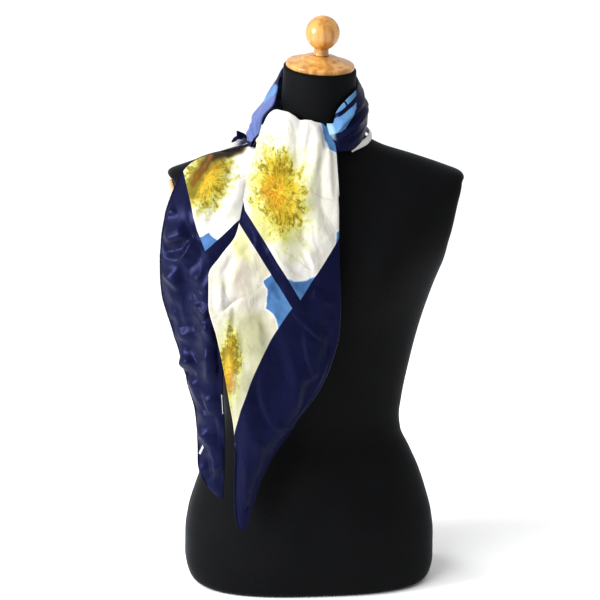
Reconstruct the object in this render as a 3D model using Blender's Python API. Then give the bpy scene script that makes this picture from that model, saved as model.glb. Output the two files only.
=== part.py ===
"""A silk square scarf, folded corner to corner, worn as a bib and tied at the nape of a limbless dress form.

Frame: metres, +Z up, +X to the form's left-hand side, -Y towards the viewer of its chest.
The origin is the middle of the flat underside that the form stands on.
"""
import math
from collections import namedtuple

import bmesh
import bpy
import numpy as np
from mathutils import Matrix, Vector

MM = 0.001

# ---- driving sizes, in millimetres ---------------------------------------------------------------
CLOTH_WALL = 1.6          # thickness of every cloth wall
REST_GAP = 0.8            # air between a resting wall and what carries it
SEAT_GAP = 0.3            # air between two hard pieces that meet face to face

NECK_TOP = 688.0          # height of the neck's top at the form's axis
NECK_LEAN_FROM = 590.0    # the neck starts to lean forward at this height
NECK_LEAN = 10.0          # how far forward the neck's top has come
NECK_TOP_TILT = 12.0      # degrees that the neck's top slopes down to the front
NECK_SIDE_TILT = 1.5      # degrees that it slopes down to +X

ARMHOLE_X = 189.5         # distance of the flat armhole from the axis, at ARMHOLE_Z
ARMHOLE_Z = 544.0
ARMHOLE_SLOPE = 0.22      # how fast the armhole leans in towards the waist
ARMHOLE_END = 470.0       # under this height the flat opens out, over the next ARMHOLE_FADE
ARMHOLE_FADE, ARMHOLE_FLARE = 60.0, 20.0
SHOULDER_LIP = 5.0        # how far the shoulder's end stands out over the arm plate
LIP_FROM, LIP_HEIGHT = 541.0, 8.0
SHOULDER_ROUND = 14.0     # how soft the corner between shoulder and armhole is

BUST_X, BUST_Z = 74.0, 438.0
BUST_WIDTH, BUST_HEIGHT = 44.0, 42.0
BUST_RISE = 30.0

FORM_SIDES = 48
PLATE_HALF_HEIGHT = 29.0  # oval arm plate, along the armhole
PLATE_HALF_WIDTH = 28.0   # and from front to back
PLATE_THICK = 5.5
PLATE_MID_Y, PLATE_MID_Z = 12.0, 512.0

CAP_RADIUS = 44.5
KNOB_RADIUS = 22.0
KNOB_HEIGHT = 46.0        # centre of the ball above the neck's top

HEM_TAG_WIDTH, HEM_TAG_LENGTH, HEM_TAG_THICK = 4.0, 18.0, 1.0
HEM_TAG_V = 13.4          # its place down the shoulder fall, counted in sections
HEM_TAG_GAP = 1.0         # air that keeps the bent cloth under it clear of its lower corner

# ---- the dress form, as rings from the floor up --------------------------------------------------
Ring = namedtuple("Ring", "height half_width front back squareness")
FORM_RINGS = (
    Ring(0.0, 153.0, 97.0, 104.0, 2.75),
    Ring(4.0, 161.0, 103.0, 112.0, 2.75),
    Ring(12.0, 166.0, 107.0, 118.0, 2.70),
    Ring(30.0, 169.5, 111.0, 122.0, 2.55),
    Ring(60.0, 169.5, 113.0, 124.0, 2.40),
    Ring(90.0, 166.0, 112.0, 122.0, 2.35),
    Ring(120.0, 158.0, 107.0, 115.0, 2.25),
    Ring(150.0, 147.5, 100.0, 105.0, 2.20),
    Ring(180.0, 133.5, 91.0, 94.0, 2.15),
    Ring(205.0, 121.5, 84.0, 85.0, 2.10),
    Ring(226.0, 119.0, 82.0, 81.0, 2.10),
    Ring(250.0, 121.5, 84.0, 81.0, 2.10),
    Ring(300.0, 130.0, 93.0, 86.0, 2.15),
    Ring(350.0, 141.0, 102.0, 92.0, 2.20),
    Ring(400.0, 156.0, 109.0, 96.0, 2.25),
    Ring(440.0, 172.0, 110.0, 98.0, 2.30),
    Ring(480.0, 192.0, 104.0, 98.0, 2.35),
    Ring(515.0, 202.0, 92.0, 94.0, 2.35),
    Ring(538.0, 212.0, 78.0, 86.0, 2.30),
    Ring(550.0, 203.0, 71.0, 80.0, 2.25),
    Ring(562.0, 173.0, 65.0, 75.0, 2.15),
    Ring(576.0, 130.0, 60.0, 70.0, 2.05),
    Ring(590.0, 84.0, 57.0, 66.0, 2.00),
    Ring(604.0, 60.0, 55.0, 62.0, 2.00),
    Ring(620.0, 52.0, 53.0, 57.0, 2.00),
    Ring(650.0, 48.5, 52.0, 53.0, 2.00),
    Ring(NECK_TOP, 47.0, 52.0, 52.0, 2.00),
)
FORM_LEVELS = (0, 4, 12, 28, 60, 95, 128, 158, 184, 206, 228, 252, 290, 328, 362, 392, 416, 438, 460,
               484, 508, 530, 541, 550, 558, 566, 575, 584, 593, 603, 616, 634, 660, 688)

# ---- the scarf's hanging stretches ---------------------------------------------------------------
# One row for each section across a stretch, from the neck down. left and right are its two ends (x, z, y),
# belly is how far its middle stands forward, and rise how high its crest arches up.
Section = namedtuple("Section", "left_x left_z left_y right_x right_z right_y belly rise")
CREST_AT = 0.22           # the crest's place along its section, from 0 at the left to 1
FRONT_SECTIONS = (
    Section(-80, 615, -37, 5, 616, -58, 7, 20),
    Section(-85, 596, -47, 6, 605, -66, 11, 7),
    Section(-90, 576, -62, 9, 588, -78, 10, 0),
    Section(-100, 545, -86, 8.5, 559, -100, 9, 0),
    Section(-108, 513, -107, 8.5, 524, -120, 10, 0),
    Section(-116, 487, -122, 7.2, 492, -134, 10, 0),
    Section(-136, 462, -134, 7.5, 456, -143, 9, 0),
    Section(-151, 438, -139, 9, 421, -147, 8, 0),
    Section(-151, 402, -141, 9.6, 393, -148, 8, 0),
    Section(-141, 363, -142, 8.5, 364, -148, 8, 0),
    Section(-132, 322, -142, 0.5, 330, -148, 9, 0),
    Section(-125, 284, -142, -15.6, 291, -147, 9, 0),
    Section(-118, 244, -141, -46, 248, -146, 9, 0),
    Section(-115, 213, -140, -73, 209, -144, 8, 0),
    Section(-115.5, 175, -139, -88, 176, -142, 6, 0),
    Section(-115, 138, -138, -99, 138, -140, 3, 0),
    Section(-110, 110, -137, -107, 109, -137.5, 0, 0),
)
SHOULDER_SECTIONS = (
    Section(-92, 587.5, -28, -78, 587.5, -42, 1, 0),
    Section(-128, 580, -20, -83, 574, -50, 3, 2),
    Section(-153, 573, -22, -90, 557, -62, 5, 3),
    Section(-174, 561, -32, -96, 538, -80, 8, 3),
    Section(-188, 540, -50, -103, 515, -98, 8, 0),
    Section(-200, 512, -66, -109, 489, -113, 8, 0),
    Section(-207, 476, -74, -118, 462, -122, 10, 0),
    Section(-209, 442, -78, -125, 431, -127, 12, 0),
    Section(-207, 407, -80, -130, 400, -129, 12, 0),
    Section(-196.5, 369, -85, -133, 362, -130, 12, 0),
    Section(-183.5, 328, -93, -134, 323, -131, 10, 0),
    Section(-174, 290, -99, -133, 284, -130, 8, 0),
    Section(-165.5, 258, -102, -131, 252, -129, 8, 0),
    Section(-162, 222, -105, -130, 219, -128, 6, 0),
    Section(-162, 195, -110, -130, 187, -127, 5, 0),
    Section(-154.5, 168, -117, -130.5, 164, -126, 3, 0),
    Section(-137, 150, -124, -131.5, 148, -125.5, 0, 0),
)
UNDER_SECTIONS = (
    Section(-72, 586, -46, -10, 586, -58, 2, 0),
    Section(-82, 540, -70, -12, 540, -86, 3, 0),
    Section(-88, 490, -104, -14, 490, -114, 3, 0),
    Section(-90, 438, -126, -16, 438, -130, 3, 0),
    Section(-94, 380, -133, -18, 380, -135, 3, 0),
    Section(-96, 320, -133, -30, 320, -135, 3, 0),
    Section(-98, 262, -133, -54, 262, -134, 3, 0),
    Section(-98, 215, -132, -74, 215, -133, 2, 0),
    Section(-95, 186, -132, -87, 186, -132, 0, 0),
)

# A fold is a soft ridge along a straight line on a stretch: u runs 0 to 1 from left to right, v counts the
# sections from the neck down, and a negative height is a valley.
Fold = namedtuple("Fold", "from_u from_v to_u to_v half_width height")
FRONT_FOLDS = (
    Fold(0.92, 0.6, 0.62, 4.0, 11, 4.0),
    Fold(0.80, 0.5, 0.42, 3.4, 9, -3.0),
    Fold(0.10, 0.4, 0.30, 4.5, 12, 3.5),
    Fold(0.35, 4.0, 0.72, 8.5, 13, 4.0),
    Fold(0.30, 6.0, 0.55, 12.0, 14, -3.5),
    Fold(0.86, 7.0, 0.70, 13.0, 12, 3.5),
    Fold(0.12, 8.0, 0.25, 14.0, 10, 3.0),
)
SHOULDER_FOLDS = (
    Fold(0.80, 0.5, 0.62, 4.5, 11, -4.0),
    Fold(0.45, 0.8, 0.38, 6.0, 14, 4.0),
    Fold(0.15, 2.0, 0.20, 9.0, 12, 4.0),
    Fold(0.36, 6.0, 0.42, 12.0, 11, -3.5),
    Fold(0.60, 7.0, 0.62, 14.5, 11, 3.5),
    Fold(0.16, 9.5, 0.25, 14.5, 8, 3.0),
)
UNDER_FOLDS = (
    Fold(0.30, 2.0, 0.35, 7.0, 12, 2.5),
    Fold(0.75, 3.5, 0.70, 7.0, 10, -2.5),
)

# The front fall's edge towards +X is turned under, as a hairpin that runs back behind it.
HAIRPIN_RADIUS = 3.0
HAIRPIN_RETURN = 12.0
EDGE_CURL, EDGE_LIP = 2.7, 1.8   # lengths of the curl and of what follows it where the edge lies open
HAIRPIN_FROM_V, HAIRPIN_TO_V = 3.3, 12.4

# ---- the scarf's stretches round the neck --------------------------------------------------------
# One row for each place round the neck, with the lower and upper edge of the gathered band there.
Station = namedtuple("Station", "low_x low_y low_z high_x high_y high_z puff")
BAND_LEFT = (
    Station(-91.9, -42.3, 589.6, -83.8, -42.3, 603.6, 2),
    Station(-94, -27, 590, -79, -31, 623, 6),
    Station(-91.5, -10, 591, -64, -20, 640, 11),
    Station(-84, 12, 594, -58, -2, 654, 11),
    Station(-71.5, 36, 598, -53, 13, 670, 7),
    Station(-56, 54, 600, -43, 36, 684, 5),
    Station(-38, 68, 602, -28, 51, 693, 4),
)
BAND_BACK = (
    Station(-37.0, 68.7, 602, -27.0, 51.4, 693.2, 4),
    Station(-20, 75, 601, -14, 57, 697, 5),
    Station(0, 77, 600, 0, 59, 698, 5),
    Station(19, 75, 601, 14, 57, 697, 5),
    Station(35.0, 68.7, 602, 26.0, 51.4, 693.6, 4),
)
BAND_RIGHT = (
    Station(36, 68, 602, 27, 51, 693, 4),
    Station(49, 55, 603, 42, 40, 687, 5),
    Station(60, 31, 609, 51.5, 23, 679, 4),
    Station(63, -4, 611, 54, 0, 669, 4),
    Station(55, -40, 603, 46, -38, 661, 6),
    Station(44, -60, 594, 29, -58, 648, 7),
    Station(31, -71, 588, 16, -63, 633, 5),
    Station(16.5, -77.5, 588, 11.5, -62.5, 619, 2),
)
BAND_PLEATS = 3.5         # pleats across a band's height
BAND_PLEAT_DEPTH = 2.2
PLEAT_FULL_HEIGHT = 60.0  # a lower band has shallower pleats

# ---- the knot and its two short ends -------------------------------------------------------------
KNOT_CENTRE = (0.0, 87.9, 640.0)
KNOT_HALF = (19.0, 10.0, 15.0)
END_LEFT = (
    Station(-17.9, 86, 628, -17.4, 86, 648, 1),
    Station(-44, 78, 597, -40, 82, 624, 3),
    Station(-74, 48, 589, -68, 57, 599, 3),
    Station(-92, 20, 587, -88, 27, 594, 1),
    Station(-106, -6, 585.5, -97, 9, 600, 1),
    Station(-128, -12, 580, -117, 2, 591, 1),
    Station(-143, -10, 576, -139, -5, 579, 0.5),
)
END_RIGHT = (
    Station(16.7, 86, 628, 16.7, 86, 648, 1),
    Station(47, 76, 602, 44, 80, 624, 3),
    Station(71, 44, 602, 67, 46, 613, 3),
    Station(71.5, 2, 600, 68, 2, 608, 1.5),
    Station(61, -37, 593.5, 58.5, -38, 601, 1),
    Station(36, -61.5, 584.5, 35, -62.5, 590, 0),
)


def smooth(rows, column, at):
    """The value of one named column at a fractional row number, on a curve that doesn't overshoot."""
    values = [float(getattr(row, column)) for row in rows]
    return monotone(range(len(rows)), values, at)


def monotone(places, values, at):
    """Monotone cubic through (place, value) pairs."""
    places = [float(p) for p in places]
    last = len(places) - 1
    steps = [(values[i + 1] - values[i]) / (places[i + 1] - places[i]) for i in range(last)]
    slopes = [steps[0]] + [0.0] * (last - 1) + [steps[-1]]
    for i in range(1, last):
        if steps[i - 1] * steps[i] > 0:
            before, after = places[i] - places[i - 1], places[i + 1] - places[i]
            w1, w2 = 2 * after + before, after + 2 * before
            slopes[i] = (w1 + w2) / (w1 / steps[i - 1] + w2 / steps[i])
    i = min(max(int(np.searchsorted(places, at)) - 1, 0), last - 1)
    span = places[i + 1] - places[i]
    t = min(max((at - places[i]) / span, 0.0), 1.0)
    return ((1 + 2 * t) * (1 - t) ** 2 * values[i] + t * (1 - t) ** 2 * span * slopes[i]
            + t * t * (3 - 2 * t) * values[i + 1] + t * t * (t - 1) * span * slopes[i + 1])


# ---- the dress form's surface --------------------------------------------------------------------
RING_HEIGHTS = [ring.height for ring in FORM_RINGS]


def ring_size(column, z):
    return monotone(RING_HEIGHTS, [getattr(ring, column) for ring in FORM_RINGS], z)


def ease(t):
    t = min(max(t, 0.0), 1.0)
    return t * t * (3 - 2 * t)


def neck_lean(z):
    return ease((z - NECK_LEAN_FROM) / (NECK_TOP - NECK_LEAN_FROM))


def bust(x, z):
    height = (z - BUST_Z) / BUST_HEIGHT
    across = [(x - side * BUST_X) / BUST_WIDTH for side in (-1, 1)]
    return BUST_RISE * sum(math.exp(-0.5 * (offset ** 2 + height ** 2)) for offset in across)


def armhole_plane(z):
    return ARMHOLE_X + (z - ARMHOLE_Z) * ARMHOLE_SLOPE


def armhole_limit(z):
    """How far from the axis the form may reach at a height, before its corners are rounded."""
    flare = ARMHOLE_FLARE * ease((ARMHOLE_END - z) / ARMHOLE_FADE)
    return armhole_plane(z) + SHOULDER_LIP * ease((z - LIP_FROM) / LIP_HEIGHT) + flare


def cut_side(across, z):
    """A distance from the axis, cut off softly where the armhole is."""
    if z < ARMHOLE_END - ARMHOLE_FADE:
        return across
    limit = armhole_limit(z)
    apart = max(SHOULDER_ROUND - abs(across - limit), 0.0) / SHOULDER_ROUND
    return min(across, limit) - apart * apart * SHOULDER_ROUND * 0.25


def form_ring(z):
    """The form's outline at one height, as (x, y, z) points in millimetres."""
    half_width, front, back, squareness = (ring_size(column, z) for column in Ring._fields[1:])
    lean = neck_lean(z)
    slope_back, slope_side = math.tan(math.radians(NECK_TOP_TILT)), math.tan(math.radians(NECK_SIDE_TILT))
    points = []
    for k in range(FORM_SIDES):
        turn = 2 * math.pi * (k + 0.5) / FORM_SIDES
        across, along = math.cos(turn), math.sin(turn)
        x = half_width * math.copysign(abs(across) ** (2 / squareness), across)
        y = (front if along < 0 else back) * math.copysign(abs(along) ** (2 / squareness), along)
        if along < 0:
            y -= bust(x, z) * abs(along) ** 1.2
        x = math.copysign(cut_side(abs(x), z), x)
        y -= NECK_LEAN * lean
        points.append((x, y, z + lean * ((y + NECK_LEAN) * slope_back - x * slope_side)))
    return points


def form_front(x, z):
    """The y of the form's front at x and z, or a place far behind it where the form isn't as wide."""
    half_width, squareness = ring_size("half_width", z), ring_size("squareness", z)
    if abs(x) >= cut_side(half_width, z) or z > NECK_TOP:
        return 200.0
    depth = (1 - (abs(x) / half_width) ** squareness) ** (1 / squareness)
    forward = ring_size("front", z) * depth + bust(x, z) * depth ** (0.6 * squareness)
    return -forward - NECK_LEAN * neck_lean(z)


# ---- meshes --------------------------------------------------------------------------------------
def material(name, colour, roughness, sheen=0.0):
    made = bpy.data.materials.new(name)
    made.use_nodes = True
    shader = made.node_tree.nodes["Principled BSDF"]
    shader.inputs["Base Color"].default_value = (*colour, 1.0)
    shader.inputs["Roughness"].default_value = roughness
    shader.inputs["Metallic"].default_value = 0.0
    shader.inputs["Sheen Weight"].default_value = sheen
    made.diffuse_color = (*colour, 1.0)
    return made


def mesh_object(name, points, faces, finish):
    """points are in millimetres; the object is in metres."""
    mesh = bpy.data.meshes.new(name)
    mesh.from_pydata([(x * MM, y * MM, z * MM) for x, y, z in points], [], faces)
    mesh.materials.append(finish)
    mesh.shade_smooth()
    made = bpy.data.objects.new(name, mesh)
    bpy.context.scene.collection.objects.link(made)
    return made


def stacked_rings(name, rings, finish):
    """A closed solid through equal rings, from the bottom up, with a flat cap at each end."""
    sides = len(rings[0])
    points = [point for ring in rings for point in ring]
    faces = [tuple(reversed(range(sides)))]
    for level in range(len(rings) - 1):
        low, high = level * sides, (level + 1) * sides
        for k in range(sides):
            after = (k + 1) % sides
            faces.append((low + k, low + after, high + after, high + k))
    faces.append(tuple(range(len(points) - sides, len(points))))
    return mesh_object(name, points, faces, finish)


def turned(name, profile, sides, finish):
    """A closed solid of (radius, height) pairs turned round +Z, bottom up, set on the neck's sloping top."""
    rings = [[(radius * math.cos(2 * math.pi * k / sides), radius * math.sin(2 * math.pi * k / sides), height)
              for k in range(sides)] for radius, height in profile]
    made = stacked_rings(name, rings, finish)
    made.location = Vector((0.0, -NECK_LEAN, NECK_TOP)) * MM
    made.rotation_euler = (math.radians(NECK_TOP_TILT), math.radians(NECK_SIDE_TILT), 0.0)
    made.data.set_sharp_from_angle(angle=math.radians(40))
    return made


def wall(name, grid, finish):
    """A closed cloth wall of CLOTH_WALL round a grid of middle points; its rows run down, its columns to +X."""
    across = len(grid[0])
    points = [point for row in grid for point in row]
    faces = []
    for r in range(len(grid) - 1):
        for c in range(across - 1):
            corner = r * across + c
            faces.append((corner, corner + across, corner + across + 1, corner + 1))
    made = mesh_object(name, points, faces, finish)
    solidify = made.modifiers.new("cloth wall", "SOLIDIFY")
    solidify.thickness = CLOTH_WALL * MM
    solidify.offset = 0.0
    solidify.use_even_offset = False
    return made


# ---- the scarf -----------------------------------------------------------------------------------
def fold_height(folds, u, v, width):
    """How far the folds lift a place on a stretch that is width across there."""
    height = 0.0
    for fold in folds:
        t = (v - fold.from_v) / (fold.to_v - fold.from_v)
        if 0 < t < 1:
            ridge_u = fold.from_u + (fold.to_u - fold.from_u) * t
            away = (u - ridge_u) * width / fold.half_width
            height += fold.height * math.exp(-away * away) * math.sin(math.pi * t) ** 0.6
    return height


def laid_on_form(x, y, z):
    """The y of a cloth wall's middle that would hang at y, eased on to the form where it would cut in."""
    blend = 3.0
    limit = form_front(x, z) - REST_GAP - 0.5 * CLOTH_WALL
    apart = max(blend - abs(y - limit), 0.0) / blend
    return min(y, limit) - apart * apart * blend * 0.25


def crest(u):
    """The outline of a rise along a section: 0 at its left end, 1 at CREST_AT, then a long slope down."""
    return u / CREST_AT * math.exp(1 - u / CREST_AT)


def hung_point(sections, folds, u, v):
    left = [smooth(sections, c, v) for c in ("left_x", "left_y", "left_z")]
    right = [smooth(sections, c, v) for c in ("right_x", "right_y", "right_z")]
    x, y, z = (a + (b - a) * u for a, b in zip(left, right))
    z += smooth(sections, "rise", v) * crest(u)
    y -= smooth(sections, "belly", v) * 4 * u * (1 - u) + fold_height(folds, u, v, right[0] - left[0])
    return x, laid_on_form(x, y, z), z


def hung_grid(sections, folds, rows, columns):
    last = len(sections) - 1
    return [[hung_point(sections, folds, c / columns, last * r / rows) for c in range(columns + 1)]
            for r in range(rows + 1)]


def hairpin(row, v):
    """The points that turn a row's +X end under: round a curl and straight on, back behind the row.

    The curl opens out towards both ends of its stretch, where the same points carry on past the edge.
    """
    share = ease(v - HAIRPIN_FROM_V) * ease(HAIRPIN_TO_V - v)
    length = EDGE_CURL + (math.pi * HAIRPIN_RADIUS - EDGE_CURL) * share
    beyond = EDGE_LIP + (HAIRPIN_RETURN - EDGE_LIP) * share
    turn = max(math.pi * share, 0.01)
    x, y, z = row[-1]
    points = []
    for step in (1 / 3, 2 / 3, 1):
        points.append((x + length * math.sin(turn * step) / turn, y + length * (1 - math.cos(turn * step)) / turn, z))
    x, y, z = points[-1]
    for reach in (0.5 * beyond, beyond):
        points.append((x + reach * math.cos(turn), y + reach * math.sin(turn), z))
    return points


def front_fall(finish):
    rows, columns = 44, 13
    grid = hung_grid(FRONT_SECTIONS, FRONT_FOLDS, rows, columns)
    last = len(FRONT_SECTIONS) - 1
    for r, row in enumerate(grid):
        row.extend(hairpin(row, last * r / rows))
    return wall("front_fall", grid, finish)


def shoulder_fall(finish):
    return wall("shoulder_fall", hung_grid(SHOULDER_SECTIONS, SHOULDER_FOLDS, 44, 13), finish)


def under_fall(finish):
    return wall("under_fall", hung_grid(UNDER_SECTIONS, UNDER_FOLDS, 22, 7), finish)


def band_point(stations, t, s, pleats, depth):
    """A point at place t along a band and share s up it; pleats waves cross its height."""
    low = np.array([smooth(stations, c, t) for c in ("low_x", "low_y", "low_z")])
    high = np.array([smooth(stations, c, t) for c in ("high_x", "high_y", "high_z")])
    middle = (low + high) / 2
    out = np.array([middle[0], middle[1] + NECK_LEAN / 2, 0.0])
    out /= np.linalg.norm(out)
    puff = smooth(stations, "puff", t) * 4 * s * (1 - s)
    depth *= min(1.0, (high[2] - low[2]) / PLEAT_FULL_HEIGHT)
    wave = depth * math.sin(2 * math.pi * pleats * s + 0.7 * t) * math.sin(math.pi * s)
    return tuple(low + (high - low) * s + out * (puff + wave))


def band(name, stations, rows, columns, finish, pleats=BAND_PLEATS, depth=BAND_PLEAT_DEPTH):
    """A gathered stretch round the neck: its rows run down, its columns from the first station on."""
    last = len(stations) - 1
    grid = [[band_point(stations, last * c / columns, 1 - r / rows, pleats, depth) for c in range(columns + 1)]
            for r in range(rows + 1)]
    return wall(name, grid, finish)


def knot(finish):
    """A small soft knot: a ball with a waist, pressed flat towards the neck."""
    rings = []
    for level in range(1, 12):
        lift = math.pi * level / 12
        ring = []
        for k in range(20):
            turn = 2 * math.pi * k / 20
            waist = 1 - 0.16 * math.cos(turn * 2 + 0.5) * math.sin(lift)
            radius = math.sin(lift) * waist
            ring.append((KNOT_CENTRE[0] + KNOT_HALF[0] * radius * math.cos(turn),
                         KNOT_CENTRE[1] + KNOT_HALF[1] * radius * math.sin(turn),
                         KNOT_CENTRE[2] - KNOT_HALF[2] * math.cos(lift)))
        rings.append(ring)
    return stacked_rings("nape_knot", rings, finish)


def hem_tag(finish):
    """A blank woven tag, sewn to the hem of the shoulder fall near its corner, hanging clear in front."""
    x, y, z = hung_point(SHOULDER_SECTIONS, SHOULDER_FOLDS, 0.12, HEM_TAG_V)
    ahead_x, ahead_y, _ = hung_point(SHOULDER_SECTIONS, SHOULDER_FOLDS, 0.40, HEM_TAG_V)
    facing = math.atan2(ahead_y - y, ahead_x - x)
    made = bpy.data.objects.new("care_tag", bpy.data.meshes.new("care_tag"))
    shape = bmesh.new()
    bmesh.ops.create_cube(shape, size=1.0)
    size = Matrix.Diagonal((HEM_TAG_WIDTH, HEM_TAG_THICK, HEM_TAG_LENGTH, 1.0))
    bmesh.ops.transform(shape, matrix=Matrix.Scale(MM, 4) @ size, verts=shape.verts)
    shape.to_mesh(made.data)
    shape.free()
    made.data.materials.append(finish)
    away = CLOTH_WALL / 2 + HEM_TAG_THICK / 2 + HEM_TAG_GAP
    made.location = Vector((x + away * math.sin(facing), y - away * math.cos(facing), z)) * MM
    made.rotation_euler = (0.0, math.radians(30.0), facing)
    bpy.context.scene.collection.objects.link(made)
    return made


# ---- the dress form ------------------------------------------------------------------------------
def form_torso(finish):
    return stacked_rings("form_torso", [form_ring(float(z)) for z in FORM_LEVELS], finish)


def neck_cap(finish):
    profile = [(CAP_RADIUS - 1.5, SEAT_GAP), (CAP_RADIUS, SEAT_GAP + 1.2), (CAP_RADIUS, 5.6), (CAP_RADIUS - 1.6, 7.2),
               (34.0, 9.8), (25.0, 11.6), (24.0, 13.4), (22.0, 14.4), (15.0, 16.2), (12.0, 16.8)]
    return turned("form_neck_cap", profile, 32, finish)


def knob(finish):
    profile = [(10.5, 16.8 + SEAT_GAP), (10.0, 19.5), (9.6, 22.5)]
    profile += [(KNOB_RADIUS * math.cos(math.radians(a)), KNOB_HEIGHT + KNOB_RADIUS * math.sin(math.radians(a)))
                for a in (-62, -45, -28, -10, 8, 26, 44, 60, 74, 84)]
    return turned("form_knob", profile, 24, finish)


def arm_plate(name, side, finish):
    """An oval plate with a rounded rim, lying on the flat armhole; side is -1 or 1."""
    slope = math.atan(ARMHOLE_SLOPE)
    up = np.array([side * math.sin(slope), 0.0, math.cos(slope)])
    out = np.array([side * math.cos(slope), 0.0, -math.sin(slope)])
    back = np.array([0.0, 1.0, 0.0])
    middle = np.array([side * armhole_plane(PLATE_MID_Z), PLATE_MID_Y, PLATE_MID_Z])
    rings = []
    for inset, lift in ((1.0, SEAT_GAP), (0.0, 1.3), (0.0, PLATE_THICK - 1.5), (1.8, PLATE_THICK)):
        ring = []
        for k in range(28):
            turn = side * 2 * math.pi * k / 28
            point = (middle + out * lift + back * (PLATE_HALF_WIDTH - inset) * math.cos(turn)
                     + up * (PLATE_HALF_HEIGHT - inset) * math.sin(turn))
            ring.append(tuple(point))
        rings.append(ring)
    made = stacked_rings(name, rings, finish)
    made.data.set_sharp_from_angle(angle=math.radians(40))
    return made


def clear_scene():
    for old in list(bpy.data.objects):
        bpy.data.objects.remove(old, do_unlink=True)


def main():
    clear_scene()
    jersey = (0.012, 0.012, 0.014)
    honey = (0.62, 0.33, 0.12)
    form_torso(material("black jersey", jersey, 0.85, sheen=0.2))
    neck_cap(material("cap wood", honey, 0.30))
    knob(material("knob wood", honey, 0.28))
    arm_plate("form_arm_plate_left", -1, material("left plate wood", (0.74, 0.56, 0.36), 0.45))
    arm_plate("form_arm_plate_right", 1, material("right plate wood", (0.74, 0.56, 0.36), 0.45))

    ivory = (0.86, 0.84, 0.78)
    navy = (0.022, 0.024, 0.12)
    front_fall(material("front silk", ivory, 0.42, sheen=0.3))
    shoulder_fall(material("shoulder silk", navy, 0.40, sheen=0.3))
    under_fall(material("under silk", navy, 0.42, sheen=0.3))
    band("neck_band_left", BAND_LEFT, 12, 14, material("left band silk", navy, 0.38, sheen=0.3))
    band("neck_band_back", BAND_BACK, 12, 9, material("back band silk", navy, 0.38, sheen=0.3))
    band("neck_band_right", BAND_RIGHT, 12, 16, material("right band silk", navy, 0.38, sheen=0.3))
    knot(material("knot silk", navy, 0.38, sheen=0.3))
    band("nape_end_left", END_LEFT, 5, 10, material("left end silk", ivory, 0.42), pleats=1.0, depth=1.0)
    band("nape_end_right", END_RIGHT, 5, 10, material("right end silk", ivory, 0.42), pleats=1.0, depth=1.0)
    hem_tag(material("tag cloth", (0.9, 0.9, 0.9), 0.6))


if __name__ == "__main__":
    main()
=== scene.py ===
"""Looks of the silk square scarf on its dress form. Sizes are in millimetres unless a name says otherwise."""
import math
from collections import namedtuple

import bmesh
import bpy
import numpy as np
from mathutils import Matrix, Vector, noise


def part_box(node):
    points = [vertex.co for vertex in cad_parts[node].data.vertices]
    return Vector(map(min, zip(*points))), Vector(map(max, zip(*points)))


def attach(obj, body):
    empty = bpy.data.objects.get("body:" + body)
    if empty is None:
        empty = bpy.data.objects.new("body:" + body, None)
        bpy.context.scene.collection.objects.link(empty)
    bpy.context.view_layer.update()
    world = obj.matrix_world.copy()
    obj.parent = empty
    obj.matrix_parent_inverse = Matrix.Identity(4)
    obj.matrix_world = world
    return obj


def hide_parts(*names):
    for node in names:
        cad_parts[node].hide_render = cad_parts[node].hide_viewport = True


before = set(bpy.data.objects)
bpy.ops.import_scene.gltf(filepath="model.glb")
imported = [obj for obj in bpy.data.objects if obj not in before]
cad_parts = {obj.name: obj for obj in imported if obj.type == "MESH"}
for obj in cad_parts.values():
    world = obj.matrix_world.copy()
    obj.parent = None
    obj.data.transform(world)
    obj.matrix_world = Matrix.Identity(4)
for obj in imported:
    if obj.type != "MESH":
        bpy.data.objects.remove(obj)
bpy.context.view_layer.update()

MM = 0.001
RNG = np.random.default_rng(7)

# ---- camera and light --------------------------------------------------------------------------
CAMERA_AZIMUTH, CAMERA_ELEVATION, CAMERA_ROLL = -8.0, 11.0, 1.1      # degrees
CAMERA_TARGET = (-18.8, 0.0, 380.0)
CAMERA_DISTANCE, FRAME_WIDTH = 2200.0, 800.0
SENSOR = 36.0
SUN_STRENGTH, SUN_ANGLE, SUN_HEADING = 2.0, 42.0, (0.80, 0.55, -0.85)
ROOM_COLOUR, ROOM_STRENGTH = (1.0, 1.0, 1.0, 1.0), 0.58

# A soft square light; place, aim and size are in metres. One that doesn't shine draws no highlight.
Lamp = namedtuple("Lamp", "name place aim size watts shines")
LAMPS = (
    Lamp("strip", (-1.5, -0.5, 1.0), (0.0, 0.0, 0.42), 0.45, 22.0, True),
    Lamp("left rim", (-1.0, 0.75, 1.7), (-0.1, 0.0, 0.55), 0.7, 9.0, False),
    Lamp("right rim", (0.9, 0.1, 1.7), (0.15, 0.0, 0.5), 0.7, 3.0, False),
)


def placed(name, data):
    """A new object in the scene."""
    made = bpy.data.objects.new(name, data)
    bpy.context.scene.collection.objects.link(made)
    return made


def facing(heading):
    """The rotation of a light that shines along heading."""
    return Vector(heading).to_track_quat("-Z", "Y").to_euler()


def make_camera():
    """A long lens on the chest, turned a little to the form's right-hand side and rolled by a degree."""
    azimuth, elevation, roll = map(math.radians, (CAMERA_AZIMUTH, CAMERA_ELEVATION, CAMERA_ROLL))
    back = Vector((math.sin(azimuth) * math.cos(elevation), -math.cos(azimuth) * math.cos(elevation),
                   math.sin(elevation)))
    right = (-back).cross(Vector((0, 0, 1))).normalized()
    up = right.cross(-back)
    rolled_right = right * math.cos(roll) + up * math.sin(roll)
    rolled_up = up * math.cos(roll) - right * math.sin(roll)
    lens = bpy.data.cameras.new("camera")
    lens.sensor_width = SENSOR
    lens.lens = SENSOR * CAMERA_DISTANCE / FRAME_WIDTH
    camera = placed("camera", lens)
    axes = Matrix((rolled_right, rolled_up, back)).transposed().to_4x4()
    camera.matrix_world = Matrix.Translation((Vector(CAMERA_TARGET) + back * CAMERA_DISTANCE) * MM) @ axes
    bpy.context.scene.camera = camera


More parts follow.
